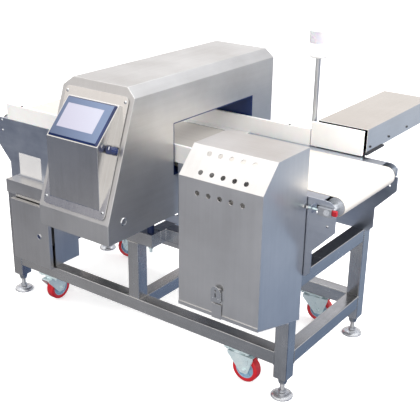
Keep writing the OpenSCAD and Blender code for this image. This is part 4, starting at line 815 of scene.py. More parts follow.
def grain_map(mesh, turned_axis=None):
    """Write the UV map "grain" in metres, face by face."""
    co = np.zeros(len(mesh.vertices) * 3)
    mesh.vertices.foreach_get("co", co)
    co = co.reshape(-1, 3)
    faces = [tuple(p.vertices) for p in mesh.polygons]
    labels = np.array(islands(faces, len(co)))
    layer = mesh.uv_layers.get("grain") or mesh.uv_layers.new(name="grain")
    uv = np.zeros((len(mesh.loops), 2))
    order_of, middle_of = {}, {}
    for name in set(labels.tolist()):
        ids = np.unique(np.concatenate([faces[i] for i in np.nonzero(labels == name)[0]]))
        low, high = co[ids].min(0), co[ids].max(0)
        order_of[name] = np.argsort(high - low)[::-1]
        middle_of[name] = (low + high) / 2
    for name, poly in zip(labels, mesh.polygons):
        p = co[list(poly.vertices)]
        if turned_axis is None:
            pair = along_side(p, np.array(poly.normal), order_of[name], name)
        else:
            pair = round_axis(p, middle_of[name], turned_axis)
        uv[list(poly.loop_indices)] = np.stack(pair, axis=1)
    layer.data.foreach_set("uv", uv.ravel())


print("grain map is ready")

# %% [markdown]
# ## Pieces
#
# A `Piece` gathers solids and their materials. Finishing it shades it smooth
# with its sharp edges kept, weights the normals by face size so that flat sheet
# stays flat beside its bevels, lays the grain and hangs it on its body, so that
# it moves with the right joint.


# %% Pieces
def finish_mesh(obj, body, replaced=(), turned_axis=None, angle=35):
    """Smooth shading with sharp edges kept, the grain map, and a place on a body."""
    mesh = obj.data
    mesh.polygons.foreach_set("use_smooth", [True] * len(mesh.polygons))
    mesh.set_sharp_from_angle(angle=math.radians(angle))
    grain_map(mesh, turned_axis)
    obj.modifiers.new("Weighted normals", "WEIGHTED_NORMAL").keep_sharp = True
    bpy.context.scene.collection.objects.link(obj)
    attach(obj, body)
    if replaced:
        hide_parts(*replaced)
    return obj


class Piece:
    """Solids that will be one object. Each solid names its material."""

    def __init__(self, name, body, replaced=(), slot=None):
        """Start empty, knowing the body to ride on and the CAD nodes to replace."""
        self.name, self.body, self.replaced, self.slot = name, body, replaced, slot
        self.points, self.faces, self.looks, self.materials, self.size = [], [], [], [], 0

    def add(self, solid, material):
        """Take points and faces, keep which material they have."""
        points, faces = outward(*solid)
        if material not in self.materials:
            self.materials.append(material)
        self.points.append(points)
        self.faces += [tuple(int(v) + self.size for v in f) for f in faces]
        self.looks += [self.materials.index(material)] * len(faces)
        self.size += len(points)

    def make(self, turned_axis=None):
        """Join everything, make the object and hang it on its body."""
        mesh = bpy.data.meshes.new(self.name)
        mesh.from_pydata(np.concatenate(self.points).tolist(), [], self.faces)
        mesh.validate()
        for material in self.materials:
            mesh.materials.append(material)
        mesh.polygons.foreach_set("material_index", self.looks)
        obj = bpy.data.objects.new(self.name, mesh)
        return finish_mesh(obj, self.body, self.replaced, turned_axis)


print("pieces can be made")

# %% [markdown]
# ## The stand
#
# The stand is welded from square tube. Four corner legs run from the feet to
# the top, and rails fit between them, cut square. The upper rails stop where the
# reject bin hangs, so that side steps in. Y values here are measured from the
# belt's centre line, and SHIFT moves them onto the frame.

# %% Sizes of the stand
belt_low, belt_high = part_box("belt")
SHIFT = (belt_low.y + belt_high.y) / 2
HALF_X, HALF_Y = 0.660, 0.284
LEG_X, LEG_Y = HALF_X - TUBE / 2, HALF_Y - TUBE / 2
INNER_X, INNER_Y = HALF_X - TUBE, HALF_Y - TUBE
LOW_RAIL, TOP_RAIL = 0.125, 0.402
LOW_AXIS, TOP_AXIS = LOW_RAIL + TUBE / 2, TOP_RAIL + TUBE / 2
LEG_FOOT, STAND_TOP = 0.077, TOP_RAIL + TUBE
STEP_X, BACK_Y = 0.090, -HALF_Y + 0.105 + SHIFT
PLUG_SIDE = 0.0458
INSERT = [(0, 0.051), (0.0128, 0.051), (0.0134, 0.0520), (0.0193, 0.0765), (0.0193, 0.0775), (0, 0.0775)]


def add_corner_leg(legs, x, y):
    """A capped tube with the plug and the cone that its levelling foot screws into."""
    half = PLUG_SIDE / 2
    legs.add(square_tube("z", (LEG_FOOT, STAND_TOP), (x, y), cap_end=True), steel_tube)
    legs.add(rounded_box((x - half, y - half, 0.0775), (x + half, y + half, 0.097)), steel_bare)
    legs.add(lathe(INSERT, (x, y, 0)), steel_bare)


print("leg axes at", round(LEG_X, 3), round(LEG_Y, 3))

# %% [markdown]
# ## Joining the tubes
#
# Rails are butted against legs and against each other. A bead goes round the
# end of each rail that is welded on. The order is that of a real frame: legs,
# lower frame, upper frame.


# %% Tubes and their welds
def stand_tubes():
    """Three pieces for the three CAD nodes of tubes, and one piece of weld beads."""
    legs = Piece("stand_legs", "stand", ("legs",), "frame_steel")
    low = Piece("stand_lower_rails", "stand", ("lower_rails",), "frame_steel")
    top = Piece("stand_upper_rails", "stand", ("upper_rails",), "frame_steel")
    beads = Piece("stand_weld_beads", "stand", (), "frame_steel")

    def bead(axis, place, centre, seed):
        """Weld a joint."""
        beads.add(weld_bead(axis, place, centre, seed), steel_tube)

    def cross_rail(piece, x, height, seed):
        """A tube from the near side to the far side, welded at both ends."""
        piece.add(square_tube("y", (-INNER_Y + SHIFT, INNER_Y + SHIFT), (x, height)), steel_tube)
        for sy in (-1, 1):
            bead("y", sy * INNER_Y + SHIFT, (x, height), seed)

    for sx in (-1, 1):
        for sy in (-1, 1):
            add_corner_leg(legs, sx * LEG_X, sy * LEG_Y + SHIFT)
    for sy in (-1, 1):
        y = sy * LEG_Y + SHIFT
        legs.add(square_tube("z", (LOW_RAIL + TUBE, TOP_RAIL), (0, y)), steel_tube)
        low.add(square_tube("x", (-INNER_X, INNER_X), (y, LOW_AXIS)), steel_tube)
        for place in (LOW_RAIL + TUBE, TOP_RAIL):
            bead("z", place, (0, y), sy)
        for sx in (-1, 1):
            bead("x", sx * INNER_X, (y, LOW_AXIS), sx)
    for x in (-LEG_X, 0.0, LEG_X):
        cross_rail(low, x, LOW_AXIS, x)
    for y in (-LEG_Y + SHIFT, LEG_Y + SHIFT):
        top.add(square_tube("x", (-INNER_X, STEP_X), (y, TOP_AXIS), cap_end=True), steel_tube)
    top.add(square_tube("x", (STEP_X, INNER_X), (BACK_Y, TOP_AXIS)), steel_tube)
    for x in (-LEG_X, STEP_X - TUBE / 2, LEG_X):
        cross_rail(top, x, TOP_AXIS, x)
    for y in (-LEG_Y, LEG_Y):
        bead("x", -INNER_X, (y + SHIFT, TOP_AXIS), y)
    for place in (STEP_X, INNER_X):
        bead("x", place, (BACK_Y, TOP_AXIS), place)
    for piece in (legs, low, top, beads):
        piece.make()


stand_tubes()

# %% [markdown]
# ## Levelling feet
#
# A levelling foot is a chromed dome, pressed from sheet, under a threaded stem
# with a lock nut. Turning the stem lifts that corner of the machine. The dome is
# a quarter of an ellipse turned about the leg's own line.

# %% Levelling feet
CORNERS = {"front_left": (-1, -1), "front_right": (1, -1), "back_left": (-1, 1), "back_right": (1, 1)}
RIM = [(0, 0), (0.0375, 0), (0.038, 0.0006), (0.038, 0.0036), (0.0372, 0.0044)]
DOME = RIM + [(0.0125 + 0.0247 * math.cos(t), 0.0044 + 0.0096 * math.sin(t))
              for t in np.linspace(0.05, math.pi / 2, 12)] + [(0.0085, 0.0142), (0, 0.0142)]


def make_feet():
    """One piece for each foot: dome, stem and lock nut."""
    for corner, (sx, sy) in CORNERS.items():
        centre = (sx * LEG_X, sy * LEG_Y + SHIFT, 0.0)
        foot = Piece("foot_" + corner + "_chromed", "foot_" + corner, ("foot_" + corner,), "chrome")
        foot.add(lathe(DOME, centre, steps=72), satin_chrome)
        foot.add(thread(centre, "z", 0.0138, 0.130, 0.008), steel_bare)
        foot.add(hex_head(centre, "z", 0.016, 0.026, 0.0136, 0.4 * sx), steel_bare)
        foot.make()


make_feet()
print("feet:", len(CORNERS))

# %% [markdown]
# ## Casters
#
# The casters hang just clear of the floor until the feet are wound up. Each has
# a plate bolted under the lower rail, a ball race, a fork pressed from zinc
# plated sheet, and a red tyre on a grey ribbed hub. One caster is drawn with its
# pivot at the origin and its wheel towards +X, and is then turned into place.

# %% Fork
TURNS = {"front_left": 90, "front_right": 0, "back_left": 205, "back_right": 8}
CASTER_X, AXLE_Z, TRAIL = 0.460, 0.055, 0.030
AXLE = (TRAIL, 0, AXLE_Z)
FORK_TOP, RIBS = 0.110, 6
RACE = [(0, 0.1103), (0.0228, 0.1103), (0.0238, 0.1112), (0.0240, 0.1135), (0.0218, 0.1155), (0.0214, 0.119),
        (0, 0.119)]


def caster_fork():
    """Two cheeks with a nut and an axle end each, the crown, the pivot and the axle."""
    solids = []
    shape = fillet([(-0.0384, FORK_TOP), (0.0652, FORK_TOP), (0.0652, 0.101), (0.0445, 0.0405),
                    (0.0155, 0.0405), (-0.0384, 0.101)], [0, 0, 0.012, 0.0125, 0.0125, 0.012], 8)
    for sy in (-1, 1):
        pin = [(0, 0.0272), (0.0045, 0.0272), (0.0045, 0.0285), (0.0035, 0.0292), (0, 0.0292)]
        solids.append(slab(shape, "y", sy * 0.0185, sy * 0.0215, 0.0005))
        solids.append(hex_head(AXLE, "y", sy * 0.0216, sy * 0.0272, 0.009, 0.3))
        solids.append(lathe([(r, sy * h) for r, h in pin], AXLE, "y", 32))
    solids.append(rounded_box((-0.0384, -0.0213, 0.1068), (0.0652, 0.0213, FORK_TOP), 0.0012, 3))
    solids.append(lathe([(0, FORK_TOP), (0.0048, FORK_TOP), (0.0048, 0.116), (0, 0.116)], (0, 0, 0), "z", 32))
    solids.append(lathe([(0, -0.0186), (0.0048, -0.0186), (0.0048, 0.0186), (0, 0.0186)], AXLE, "y", 24))
    return [(solid, zinc) for solid in solids]


print("fork:", len(caster_fork()), "solids")

# %% [markdown]
# ## A wheel
#
# The tyre is cast onto the hub, so their profiles meet at the rim. Only half of
# each profile is written down, since a wheel is the same on both sides.


# %% Wheel
def mirrored(profile):
    """A profile with its mirror image beyond height zero, closed in a loop."""
    whole = profile + [(r, -h) for r, h in profile[::-1]]
    return whole + whole[:1]


def caster_wheel():
    """Tyre and hub turned on the axle, six ribs and a cap on each side."""
    tread = [(0.0352, -0.0145), (0.0395, -0.0150), (0.0425, -0.0158)]
    tread += [(0.0452 + 0.0048 * math.sin(t), -0.0112 - 0.0048 * math.cos(t))
              for t in np.linspace(0, math.pi / 2, 7)]
    hub = [(0.0054, -0.0158), (0.0115, -0.0158), (0.0125, -0.0148), (0.0135, -0.0100), (0.0300, -0.0080),
           (0.0312, -0.0090), (0.0322, -0.0140), (0.0330, -0.0146), (0.0352, -0.0146)]
    cap = [(0.0053, 0.0161), (0.0095, 0.0161), (0.0105, 0.0154), (0.0105, 0.0150), (0.0053, 0.0150),
           (0.0053, 0.0161)]
    wheel = [(lathe(mirrored(tread), AXLE, "y", 72), red_tyre),
             (lathe(mirrored(hub), AXLE, "y", 72), hub_grey)]
    for sy in (-1, 1):
        for a in ring_angles(RIBS, 0.2):
            rib = rounded_box((0.0118, -0.0011, -sy * 0.0072), (0.0318, 0.0011, -sy * 0.0128), 0.0006)
            outwards, onwards = (math.cos(a), 0, math.sin(a)), (-math.sin(a), 0, math.cos(a))
            wheel.append((carried(rib, AXLE, outwards, onwards), hub_grey))
        wheel.append((lathe([(r, sy * h) for r, h in cap], AXLE, "y", 40), zinc))
    return wheel


print("wheel:", len(caster_wheel()), "solids")

# %% [markdown]
# ## Four casters
#
# Swivel casters never line up by themselves. Each fork stands at its own angle,
# read from the photograph, and its wheel is a piece of its own, so that it can
# roll on its axle while the fork turns about its pivot.


# %% Casters in place
def make_casters():
    """Four plates on the stand, four forks that swivel and four wheels that roll."""
    fork, wheel = caster_fork(), caster_wheel()
    plates = Piece("caster_top_plates", "stand", ("caster_plates",), "zinc")
    for corner, (sx, sy) in CORNERS.items():
        x, y = sx * CASTER_X, sy * LEG_Y + SHIFT
        plates.add(rounded_box((x - 0.050, y - 0.025, 0.119), (x + 0.050, y + 0.025, 0.1248), 0.0012, 3),
                   zinc)
        plates.add(lathe(RACE, (x, y, 0)), zinc)
        for bx in (-1, 1):
            for by in (-1, 1):
                spot = (x + bx * 0.040, y + by * 0.0155, 0)
                plates.add(hex_head(spot, "z", 0.1132, 0.1190, 0.0068, bx * 0.3), zinc)
        forked = Piece("caster_fork_" + corner + "_pressed", "fork_" + corner,
                       ("caster_fork_" + corner,), "zinc")
        rolling = Piece("caster_wheel_" + corner + "_moulded", "wheel_" + corner,
                        ("caster_wheel_" + corner,), "red_tyre")
        for piece, solids in ((forked, fork), (rolling, wheel)):
            for solid, material in solids:
                piece.add(spun(solid, (x, y, 0), TURNS[corner]), material)
            piece.make()
    plates.make()


make_casters()
print("casters:", len(TURNS))

# %% [markdown]
# ## Sheet metal from the CAD
#
# Welded and folded sheets already have the right form in the CAD. What they
# lack is the small radius that a press brake or a sander leaves on every edge,
# and a long brushed grain. `dress` copies a CAD node, merges its flat faces,
# bevels each crisp edge and lays the grain. The roundings may have their own
# brighter steel, a painted highlight along the edges.


# %% Dressing a CAD node
MERGE, FLAT_ANGLE = 0.000002, math.radians(0.6)


def dress(node, material, edge, rim=None, paint=None, sharp=12):
    """Copy a CAD node, merge its flat faces, round its edges, and replace it.

    rim is the roundings' own material. paint is (test, material): faces whose normal and
    middle pass the test get that material. sharp is the least angle of an edge, in degrees.
    """
    bm = bmesh.new()
    bm.from_mesh(nodes[node].data)
    bmesh.ops.remove_doubles(bm, verts=bm.verts, dist=MERGE)
    bmesh.ops.dissolve_limit(bm, angle_limit=FLAT_ANGLE, verts=bm.verts, edges=bm.edges,
                             use_dissolve_boundaries=False)
    for face in bm.faces:
        face.material_index = 0
    crisp = [e for e in bm.edges if len(e.link_faces) == 2 and e.calc_face_angle(0.0) > math.radians(sharp)
             and e.calc_length() > edge * 0.5]
    break_edges(bm, crisp, edge, clamp_overlap=False, material=1 if rim else -1)
    for face in bm.faces if paint else ():
        if paint[0](face.normal, face.calc_center_median()):
            face.material_index = 2 if rim else 1
    mesh = bpy.data.meshes.new(node + "_finished")
    bm.to_mesh(mesh)
    bm.free()
    mesh.materials.clear()
    for look in [material] + ([rim] if rim else []) + ([paint[1]] if paint else []):
        mesh.materials.append(look)
    for layer in list(mesh.uv_layers):
        mesh.uv_layers.remove(layer)
    obj = bpy.data.objects.new(mesh.name, mesh)
    return finish_mesh(obj, nodes[node]["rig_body"], (node,), angle=sharp + 6)


print("a CAD node can be dressed")

# %% [markdown]
# ## Each sheet, bar and board
#
# The table below says for each node its material, the width of its roundings
# and its slot. Widths are those of the real process: 0.5 mm for
# folded sheet, 1 mm for a milled board and 1.8 mm for the welded detector head.
# The bin's inner back wall gets painted shade and the liner's end faces get
# steel, which a test on the face's direction and place picks out.

# %% Sheet metal, bars and boards
SHEETS = [
    ("head_housing", steel_head, 0.0018, "sheet_steel"), ("control_box", steel_panel, 0.0009, "sheet_steel"),
    ("side_plate_near", side_plate_steel_painted_cool_shade, 0.0007, "sheet_steel"),
    ("side_plate_far", side_plate_steel_painted_cool_shade, 0.0007, "sheet_steel"),
    ("bin_body", steel_light, 0.0005, "sheet_steel"), ("bin_hatch", steel_light, 0.0005, "sheet_steel"),
    ("pusher_cover", cover_steel, 0.0006, "sheet_steel"), ("cabinet_body", steel, 0.0005, "sheet_steel"),
    ("cabinet_door", steel, 0.0006, "sheet_steel"), ("cross_members", steel_bare, 0.0006, "frame_steel"),
    ("tension_blocks", steel_bare, 0.0006, "zinc"), ("beacon_pole", steel_bare, 0.0006, "chrome"),
    ("post_bolts", zinc, 0.0005, "zinc"), ("flange_bearings", cast, 0.0012, "dark_steel"),
    ("air_cylinder", cast, 0.0008, "aluminium"), ("pusher_rods", chrome, 0.0005, "chrome"),
    # The liner's dark colour is painted shade: the inside of the tunnel looks dark because it lies in shade.
    ("pusher_bracket", black_paint, 0.0006, "black_paint"), ("tunnel_liner", navy_plastic_and_liner_shade, 0.0005, "dark_plastic"),
    ("head_posts", navy_plastic_and_liner_shade, 0.0006, "dark_plastic"), ("panel_seal", gasket, 0.0002, "gasket"),
    ("slider_bed", bed_white, 0.0010, "white_plastic"), ("pusher_plate", white_pe, 0.0012, "white_plastic"),
    ("slot_cap", red_cap, 0.0010, "red_plastic"), ("coil_former", former, 0.0005, "former_plastic"),
    ("search_coils", copper, 0.0005, "winding_copper"), ("rating_plate", label, 0.0003, "white_plastic"),
    ("gearmotor", motor_paint, 0.0015, "motor_paint"), ("drive_chain", dark_steel, 0.0004, "dark_steel"),
    ("motor_sprocket", dark_steel, 0.0005, "dark_steel"), ("display_screen", screen, 0.0001, "screen_glass"),
]
# Sheets whose roundings get the painted edge highlight.
PAINTED_HIGHLIGHT_SHEETS = ("head_housing", "control_box", "side_plate_near", "side_plate_far", "bin_body", "bin_hatch",
                "pusher_cover", "cabinet_body", "cabinet_door")
bin_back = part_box("bin_body")[0].y + 0.05
PAINTED = {
    # The bin's inner back wall, seen through the vents, is painted dark as shade.
    "bin_body": (lambda normal, middle: normal.y < -0.8 and middle.y > bin_back, bin_inside_painted_shade),
    "tunnel_liner": (lambda normal, middle: abs(normal.x) > 0.7, steel),
}
for node, material, edge, slot_name in SHEETS:
    dress(node, material, edge, edge_painted_highlight if node in PAINTED_HIGHLIGHT_SHEETS else None, PAINTED.get(node))
dress("belt", belt_white, 0.0005, sharp=40)
print("dressed:", len(SHEETS) + 1)

# %% [markdown]
# ## The hood over the cabinet
#
# A folded sheet with a long narrow slot for air. Its front is one plate with a
# hole, and the top and left sheets lie behind that plate's edges. A dark strip
# behind the slot is painted shade, the dark one sees through it.


# %% Hood
def make_hood():
    """Front plate with the slot, top sheet and left end sheet, each 2 mm thick."""
    low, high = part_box("cabinet_hood")
    thick, lap = 0.002, 0.0002
    hood = Piece("cabinet_hood_folded", "stand", ("cabinet_hood",), "sheet_steel")
    left, right = -0.612, high.x - 0.0927
    slot = rectangle(left, low.z + 0.001, right, low.z + 0.0085)
    hood.add(plate(rectangle(low.x, low.z, high.x, high.z), [slot], "y", low.y, low.y + thick, 0.0003), steel)
    behind = low.y + thick - lap
    hood.add(rounded_box((low.x + lap, behind, high.z - thick), (high.x, high.y, high.z), 0.0004), steel)
    hood.add(rounded_box((low.x, behind, low.z), (low.x + thick, high.y, high.z - 0.0006), 0.0004), steel)
    # Painted shade: a dark strip just behind the slot.
    hood.add(rounded_box((left - 0.004, low.y + thick + 0.001, low.z + 0.0002),
                         (right + 0.004, low.y + thick + 0.002, low.z + 0.010), 0.0003), gasket)
    hood.make()


make_hood()
print("hood is on")

# %% [markdown]
# ## Guards beside the belt
#
# Two boards are milled from white polyethylene sheet. The near board is shorter,
# because the pusher needs room, so its end is read from the CAD node. Two thin
# strips close the gap beside the belt inside the head.


# %% Guards
def make_guards():
    """Two white boards and two strips."""
    low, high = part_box("side_guards")
    guards = Piece("side_guards_milled", "stand", ("side_guards",), "white_plastic")
    board = nodes["side_guards"]
    corners = [board.matrix_world @ v.co for v in board.data.vertices]
    near_end = max(v.x for v in corners if v.y < (low.y + high.y) / 2)
    thick, gap, half_tunnel = 0.012, 0.001, 0.1625
    guards.add(rounded_box((low.x, low.y, low.z), (near_end, low.y + thick, high.z), 0.0012, 3), white_pe)
    guards.add(rounded_box((low.x, high.y - thick, low.z), (high.x, high.y, high.z), 0.0012, 3), white_pe)
    for start, end in ((low.y + thick - gap, belt_low.y - gap), (belt_high.y + gap, high.y - thick + gap)):
        strip = rounded_box((-half_tunnel, start, low.z), (half_tunnel, end, low.z + 0.0018), 0.0006)
        guards.add(strip, white_pe)
    guards.make()


make_guards()
print("guards are on")

# %% [markdown]
# ## The control panel
#
# Panel pieces are drawn flat and then carried to the sloped front. The slope
# leans 70 degrees, and the display's face leans another 23.77 degrees back, so
# two frames are enough: one for the slope and one for the display.

# %% Panel frames
LEAN, FACE_TILT = math.radians(70), math.radians(23.77)
SLOPE_UP = np.array([0, math.cos(LEAN), math.sin(LEAN)])
SLOPE_OUT = np.array([0, -math.sin(LEAN), math.cos(LEAN)])
SLOPE_FOOT = np.array([0, -0.574 + SHIFT, 0.602])
SLOPE_TOP = SLOPE_FOOT + SLOPE_UP * 0.237
FACE_UP = SLOPE_UP * math.cos(FACE_TILT) - SLOPE_OUT * math.sin(FACE_TILT)
FACE_FOOT = SLOPE_TOP + SLOPE_OUT * 0.0745
FACE_LENGTH = 0.1551
ACROSS = (1.0, 0.0, 0.0)
print("the display leans", round(math.degrees(math.asin(FACE_UP[2]))), "degrees")

# %% [markdown]
# ## The display
#
# The bezel is moulded from blue-grey plastic: a tray whose sides show, and a
# slate frame set 6 mm inside them. The tray is a loft, a stack of rounded
# rectangles at given heights, which rounds its rim in small steps.

# %% Display
BEZEL_HALF, BEZEL_HEIGHT = 0.106, 0.148
WINDOW_LEFT, WINDOW_RIGHT, WINDOW_HEIGHT = -0.086, 0.070, 0.088
WINDOW_LOW = (BEZEL_HEIGHT - WINDOW_HEIGHT) * 0.57
TRAY = [(0.0004, 0.0036, 0.0), (0.0, 0.0040, 0.0004), (0.0, 0.0040, 0.0016), (0.0008, 0.0040, 0.0026),
        (0.0054, 0.0040, 0.0062), (0.0060, 0.0036, 0.0064), (0.0064, 0.0034, 0.0060),
        (0.0064, 0.0034, 0.0010)]


def bezel_ring(inset, radius):
    """The bezel's rounded outline, moved inwards."""
    return fillet(rectangle(-BEZEL_HALF + inset, inset, BEZEL_HALF - inset, BEZEL_HEIGHT - inset), radius)


def window(out):
    """The screen's opening, grown by a small amount."""
    top = WINDOW_LOW + WINDOW_HEIGHT
    return rectangle(WINDOW_LEFT - out, WINDOW_LOW - out, WINDOW_RIGHT + out, top + out)


def make_display():
    """Tray, front frame, a dark back behind the window and the body inside the panel."""
    bezel = Piece("display_bezel_moulded", "stand", ("display_bezel",), "blue_grey_plastic")
    foot = FACE_FOOT + FACE_UP * (FACE_LENGTH - BEZEL_HEIGHT) / 2
    tray = loft([bezel_ring(inset, radius) for inset, radius, _ in TRAY], [height for *_, height in TRAY])
    parts = [(tray, navy_gloss),
             (plate(bezel_ring(0.0057, 0.0036), [window(0.0)], "z", 0.0050, 0.0070, 0.0005), bezel_slate_painted_light),
             (slab(window(0.0010), "z", 0.0002, 0.0052, 0.0), navy_plastic_and_liner_shade),
             (rounded_box((-0.0954, 0.0074, -0.024), (0.0954, 0.1406, -0.0002), 0.001), navy_plastic_and_liner_shade)]
    for solid, material in parts:
        bezel.add(carried(solid, foot, ACROSS, FACE_UP), material)
    bezel.make()


make_display()
print("display tray:", len(TRAY), "rings")

# %% [markdown]
# ## The rotary switch
#
# A knob is fluted for grip. Its outline is a circle whose radius falls and rises
# twelve times, given a thickness by `slab`. A chromed collar, a skirt and a
# flat cap are turned, and a raised white bar says where the knob points.

# %% Rotary switch
FLUTES, KNOB_RADIUS, FLUTE_DEPTH = 12, 0.0128, 0.0011
COLLAR = [(0, 0.0003), (0.0056, 0.0003), (0.0056, 0.0085), (0, 0.0085)]
SKIRT = [(0, 0.0082), (0.0136, 0.0082), (0.0140, 0.0088), (0.0140, 0.0122), (0.0132, 0.0134), (0, 0.0134)]
KNOB_CAP = [(0, 0.0374), (0.0086, 0.0374), (0.0096, 0.0380), (0.0098, 0.0383), (0, 0.0383)]


def make_switch():
    """The knob turns on the slope's normal: radius = R - depth * (1 + cos 12 t) / 2."""
    knob = Piece("rotary_switch_knob", nodes["rotary_switch"]["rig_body"], ("rotary_switch",), "dark_plastic")
    foot = SLOPE_TOP + np.array(ACROSS) * 0.126
    t = ring_angles(FLUTES * 12)
    radius = KNOB_RADIUS - FLUTE_DEPTH * (0.5 + 0.5 * np.cos(FLUTES * t))
    grip = np.stack([radius * np.cos(t), radius * np.sin(t)], axis=1)
    parts = [(lathe(COLLAR, (0, 0, 0), steps=32), chrome),
             (lathe(SKIRT, (0, 0, 0)), navy_gloss),
             (slab(grip, "z", 0.0130, 0.0379, 0.0012), navy_gloss),
             (rounded_box((-0.0016, 0.0015, 0.0370), (0.0016, 0.0118, 0.0386), 0.0007), lamp_white),
             (lathe(KNOB_CAP, (0, 0, 0), steps=48), navy_gloss)]
    for solid, material in parts:
        knob.add(carried(solid, foot, ACROSS, SLOPE_UP), material)
    knob.make()


make_switch()
print("flutes:", FLUTES)

# %% [markdown]
# ## Rollers
#
# A belt roller is a steel tube with pressed end caps, turned bright on a lathe.
# The caps' rings are grooves of a fraction of a millimetre. They are in the
# profile, because real grooves catch the light at every angle. The driven
# roller carries a sprocket: each tooth is one crest of a cosine, cut flat.

# %% Rollers
ROLLER_X, ROLLER_Z, SPROCKET_Y, TEETH = 0.742, 0.6915, 0.2 + SHIFT, 16
END_CAP = [(0.0130, 0), (0.0132, -0.0008), (0.0168, -0.0008), (0.0170, 0.0010), (0.0212, 0.0010),
           (0.0214, -0.0004), (0.0250, -0.0004), (0.0252, 0.0012), (0.0272, 0.0012), (0.0274, 0),
           (0.0291, 0), (0.0298, 0.0004), (0.0300, 0.0012)]
HUB = [(0.010, -0.006), (0.0150, -0.006), (0.0155, -0.0055), (0.0155, 0.0055), (0.0150, 0.006),
       (0.010, 0.006), (0.010, -0.006)]


def make_roller(node, x, shaft):
    """Shaft end, ringed end cap and shell, and the same mirrored. shaft is half its length."""
    half = (belt_high.y - belt_low.y) / 2 - 0.003
    near = [(0, -shaft), (0.0094, -shaft), (0.0100, -shaft + 0.0006), (0.0100, -half - 0.0001)]
    near += [(r, h - half) for r, h in END_CAP]
    roller = Piece(node + "_turned", nodes[node]["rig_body"], (node,), "roller_steel")
    profile = near + [(r, -h) for r, h in near[::-1]]
    roller.add(lathe(profile, (x, SHIFT, ROLLER_Z), "y", 96), turned)
    return roller


def sprocket(tip, root, width, centre):
    """A toothed wheel on y: radius = root + (tip - root) * clip(0.5 + 0.85 cos(teeth * t), 0, 1)."""
    x, y, z = centre
    t = ring_angles(TEETH * 10)
    radius = root + (tip - root) * np.clip(0.5 + 0.85 * np.cos(TEETH * t), 0.0, 1.0)
    outline = np.stack([x + radius * np.cos(t), z + radius * np.sin(t)], axis=1)
    return slab(outline, "y", y - width / 2, y + width / 2, 0.0006)


tail = make_roller("tail_roller", ROLLER_X, 0.242)
tail.make(turned_axis="y")
drive = make_roller("drive_roller", -ROLLER_X, 0.224)
spot = (-ROLLER_X, SPROCKET_Y, ROLLER_Z)
drive.add(sprocket(0.0195, 0.0168, 0.0052, spot), dark_steel)
drive.add(lathe(HUB, spot, "y", 48), dark_steel)
drive.make(turned_axis="y")
print("rollers:", len(tail.faces) + len(drive.faces), "faces")

# %% [markdown]
# ## The signal lamp
#
# The lamp stands on a white foot with a small sounder grille. Its lens is a
# moulded drum, ribbed inside so that it scatters the light: here every second
# column of points stands 0.4 mm out. It has a real wall, since a lens without
# thickness can't look milky.

# %% Signal lamp
FOOT_Z, LENS_Z, CAP_Z = 1.043, 1.095, 1.135
LAMP_FOOT = [(0, FOOT_Z), (0.0275, FOOT_Z), (0.0300, FOOT_Z + 0.0015), (0.0352, FOOT_Z + 0.0062),
             (0.0360, FOOT_Z + 0.0080), (0.0360, LENS_Z - 0.0060), (0.0356, LENS_Z - 0.0052),
             (0.0348, LENS_Z - 0.0048), (0.0348, LENS_Z - 0.0036), (0.0358, LENS_Z - 0.0030),
             (0.0358, LENS_Z - 0.0006), (0.0352, LENS_Z), (0, LENS_Z)]
LAMP_CAP = [(0, CAP_Z), (0.0350, CAP_Z), (0.0357, CAP_Z + 0.0008), (0.0357, CAP_Z + 0.0075),
            (0.0350, CAP_Z + 0.0095), (0.0310, CAP_Z + 0.0118), (0.0200, CAP_Z + 0.0127), (0, CAP_Z + 0.0130)]
DRUM = [(0.0330, LENS_Z + 0.0002), (0.0343, LENS_Z + 0.0006), (0.0345, LENS_Z + 0.0030),
        (0.0345, CAP_Z - 0.0030), (0.0343, CAP_Z - 0.0006), (0.0330, CAP_Z - 0.0002),
        (0.0310, CAP_Z - 0.0032), (0.0310, LENS_Z + 0.0032)]
LIGHT = [(0.008, LENS_Z + 0.004), (0.022, LENS_Z + 0.004), (0.022, CAP_Z - 0.004), (0.008, CAP_Z - 0.004),
         (0.008, LENS_Z + 0.004)]
COLUMNS, RIPPLE = 120, 0.0004


def ribbed_drum(x, y):
    """A closed ring: radius + ripple * cos(pi * column) on the two widest rows."""
    radius, height = np.array(DRUM)[:, :1], np.array(DRUM)[:, 1:]
    radius = radius + (radius > 0.0344) * RIPPLE * np.cos(np.arange(COLUMNS) * math.pi)
    t = ring_angles(COLUMNS)
    points = np.stack([x + radius * np.cos(t), y + radius * np.sin(t), height + 0 * t], axis=-1)
    points = points.reshape(-1, 3)
    index = np.arange(len(points)).reshape(-1, COLUMNS)
    return points, skin(np.concatenate([index, index[:1]]))


def make_beacon():
    """White foot with its grille and a domed cap, and the ribbed lens with the light inside."""
    low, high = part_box("beacon_lens")
    x, y = (low.x + high.x) / 2, (low.y + high.y) / 2
    housing = Piece("beacon_housing_moulded", "stand", ("beacon_housing",), "white_plastic")
    for profile in (LAMP_FOOT, LAMP_CAP):
        housing.add(lathe(profile, (x, y, 0), steps=96), lamp_white)
    for z in FOOT_Z + 0.018 + np.arange(5) * 0.0042:
        for degrees in (-28, -19, -10):
            bar = rounded_box((0.0352, -0.0020, z), (0.0362, 0.0020, z + 0.0018), 0.0004)
            housing.add(spun(bar, (x, y, 0), degrees), grille_grey)
    housing.make()
    drum = Piece("beacon_lens_ribbed", "stand", ("beacon_lens",), "lens_plastic")
    drum.add(ribbed_drum(x, y), lens)
    drum.add(lathe(LIGHT, (x, y, 0), steps=48), lamp_white)
    drum.make()


make_beacon()
print("lamp columns:", COLUMNS)

# %% [markdown]
# ## Domed screws
#
# Button-head screws hold the panel, the guards, the cover and the side plates.
# The CAD draws them as plain domes. Their number, places and axes are read from
# that node, and each gets a thin dome with a hexagon socket. The axis of a turned
# solid is the one direction in which its points spread differently from the
# other two, which the eigenvectors of their covariance tell.


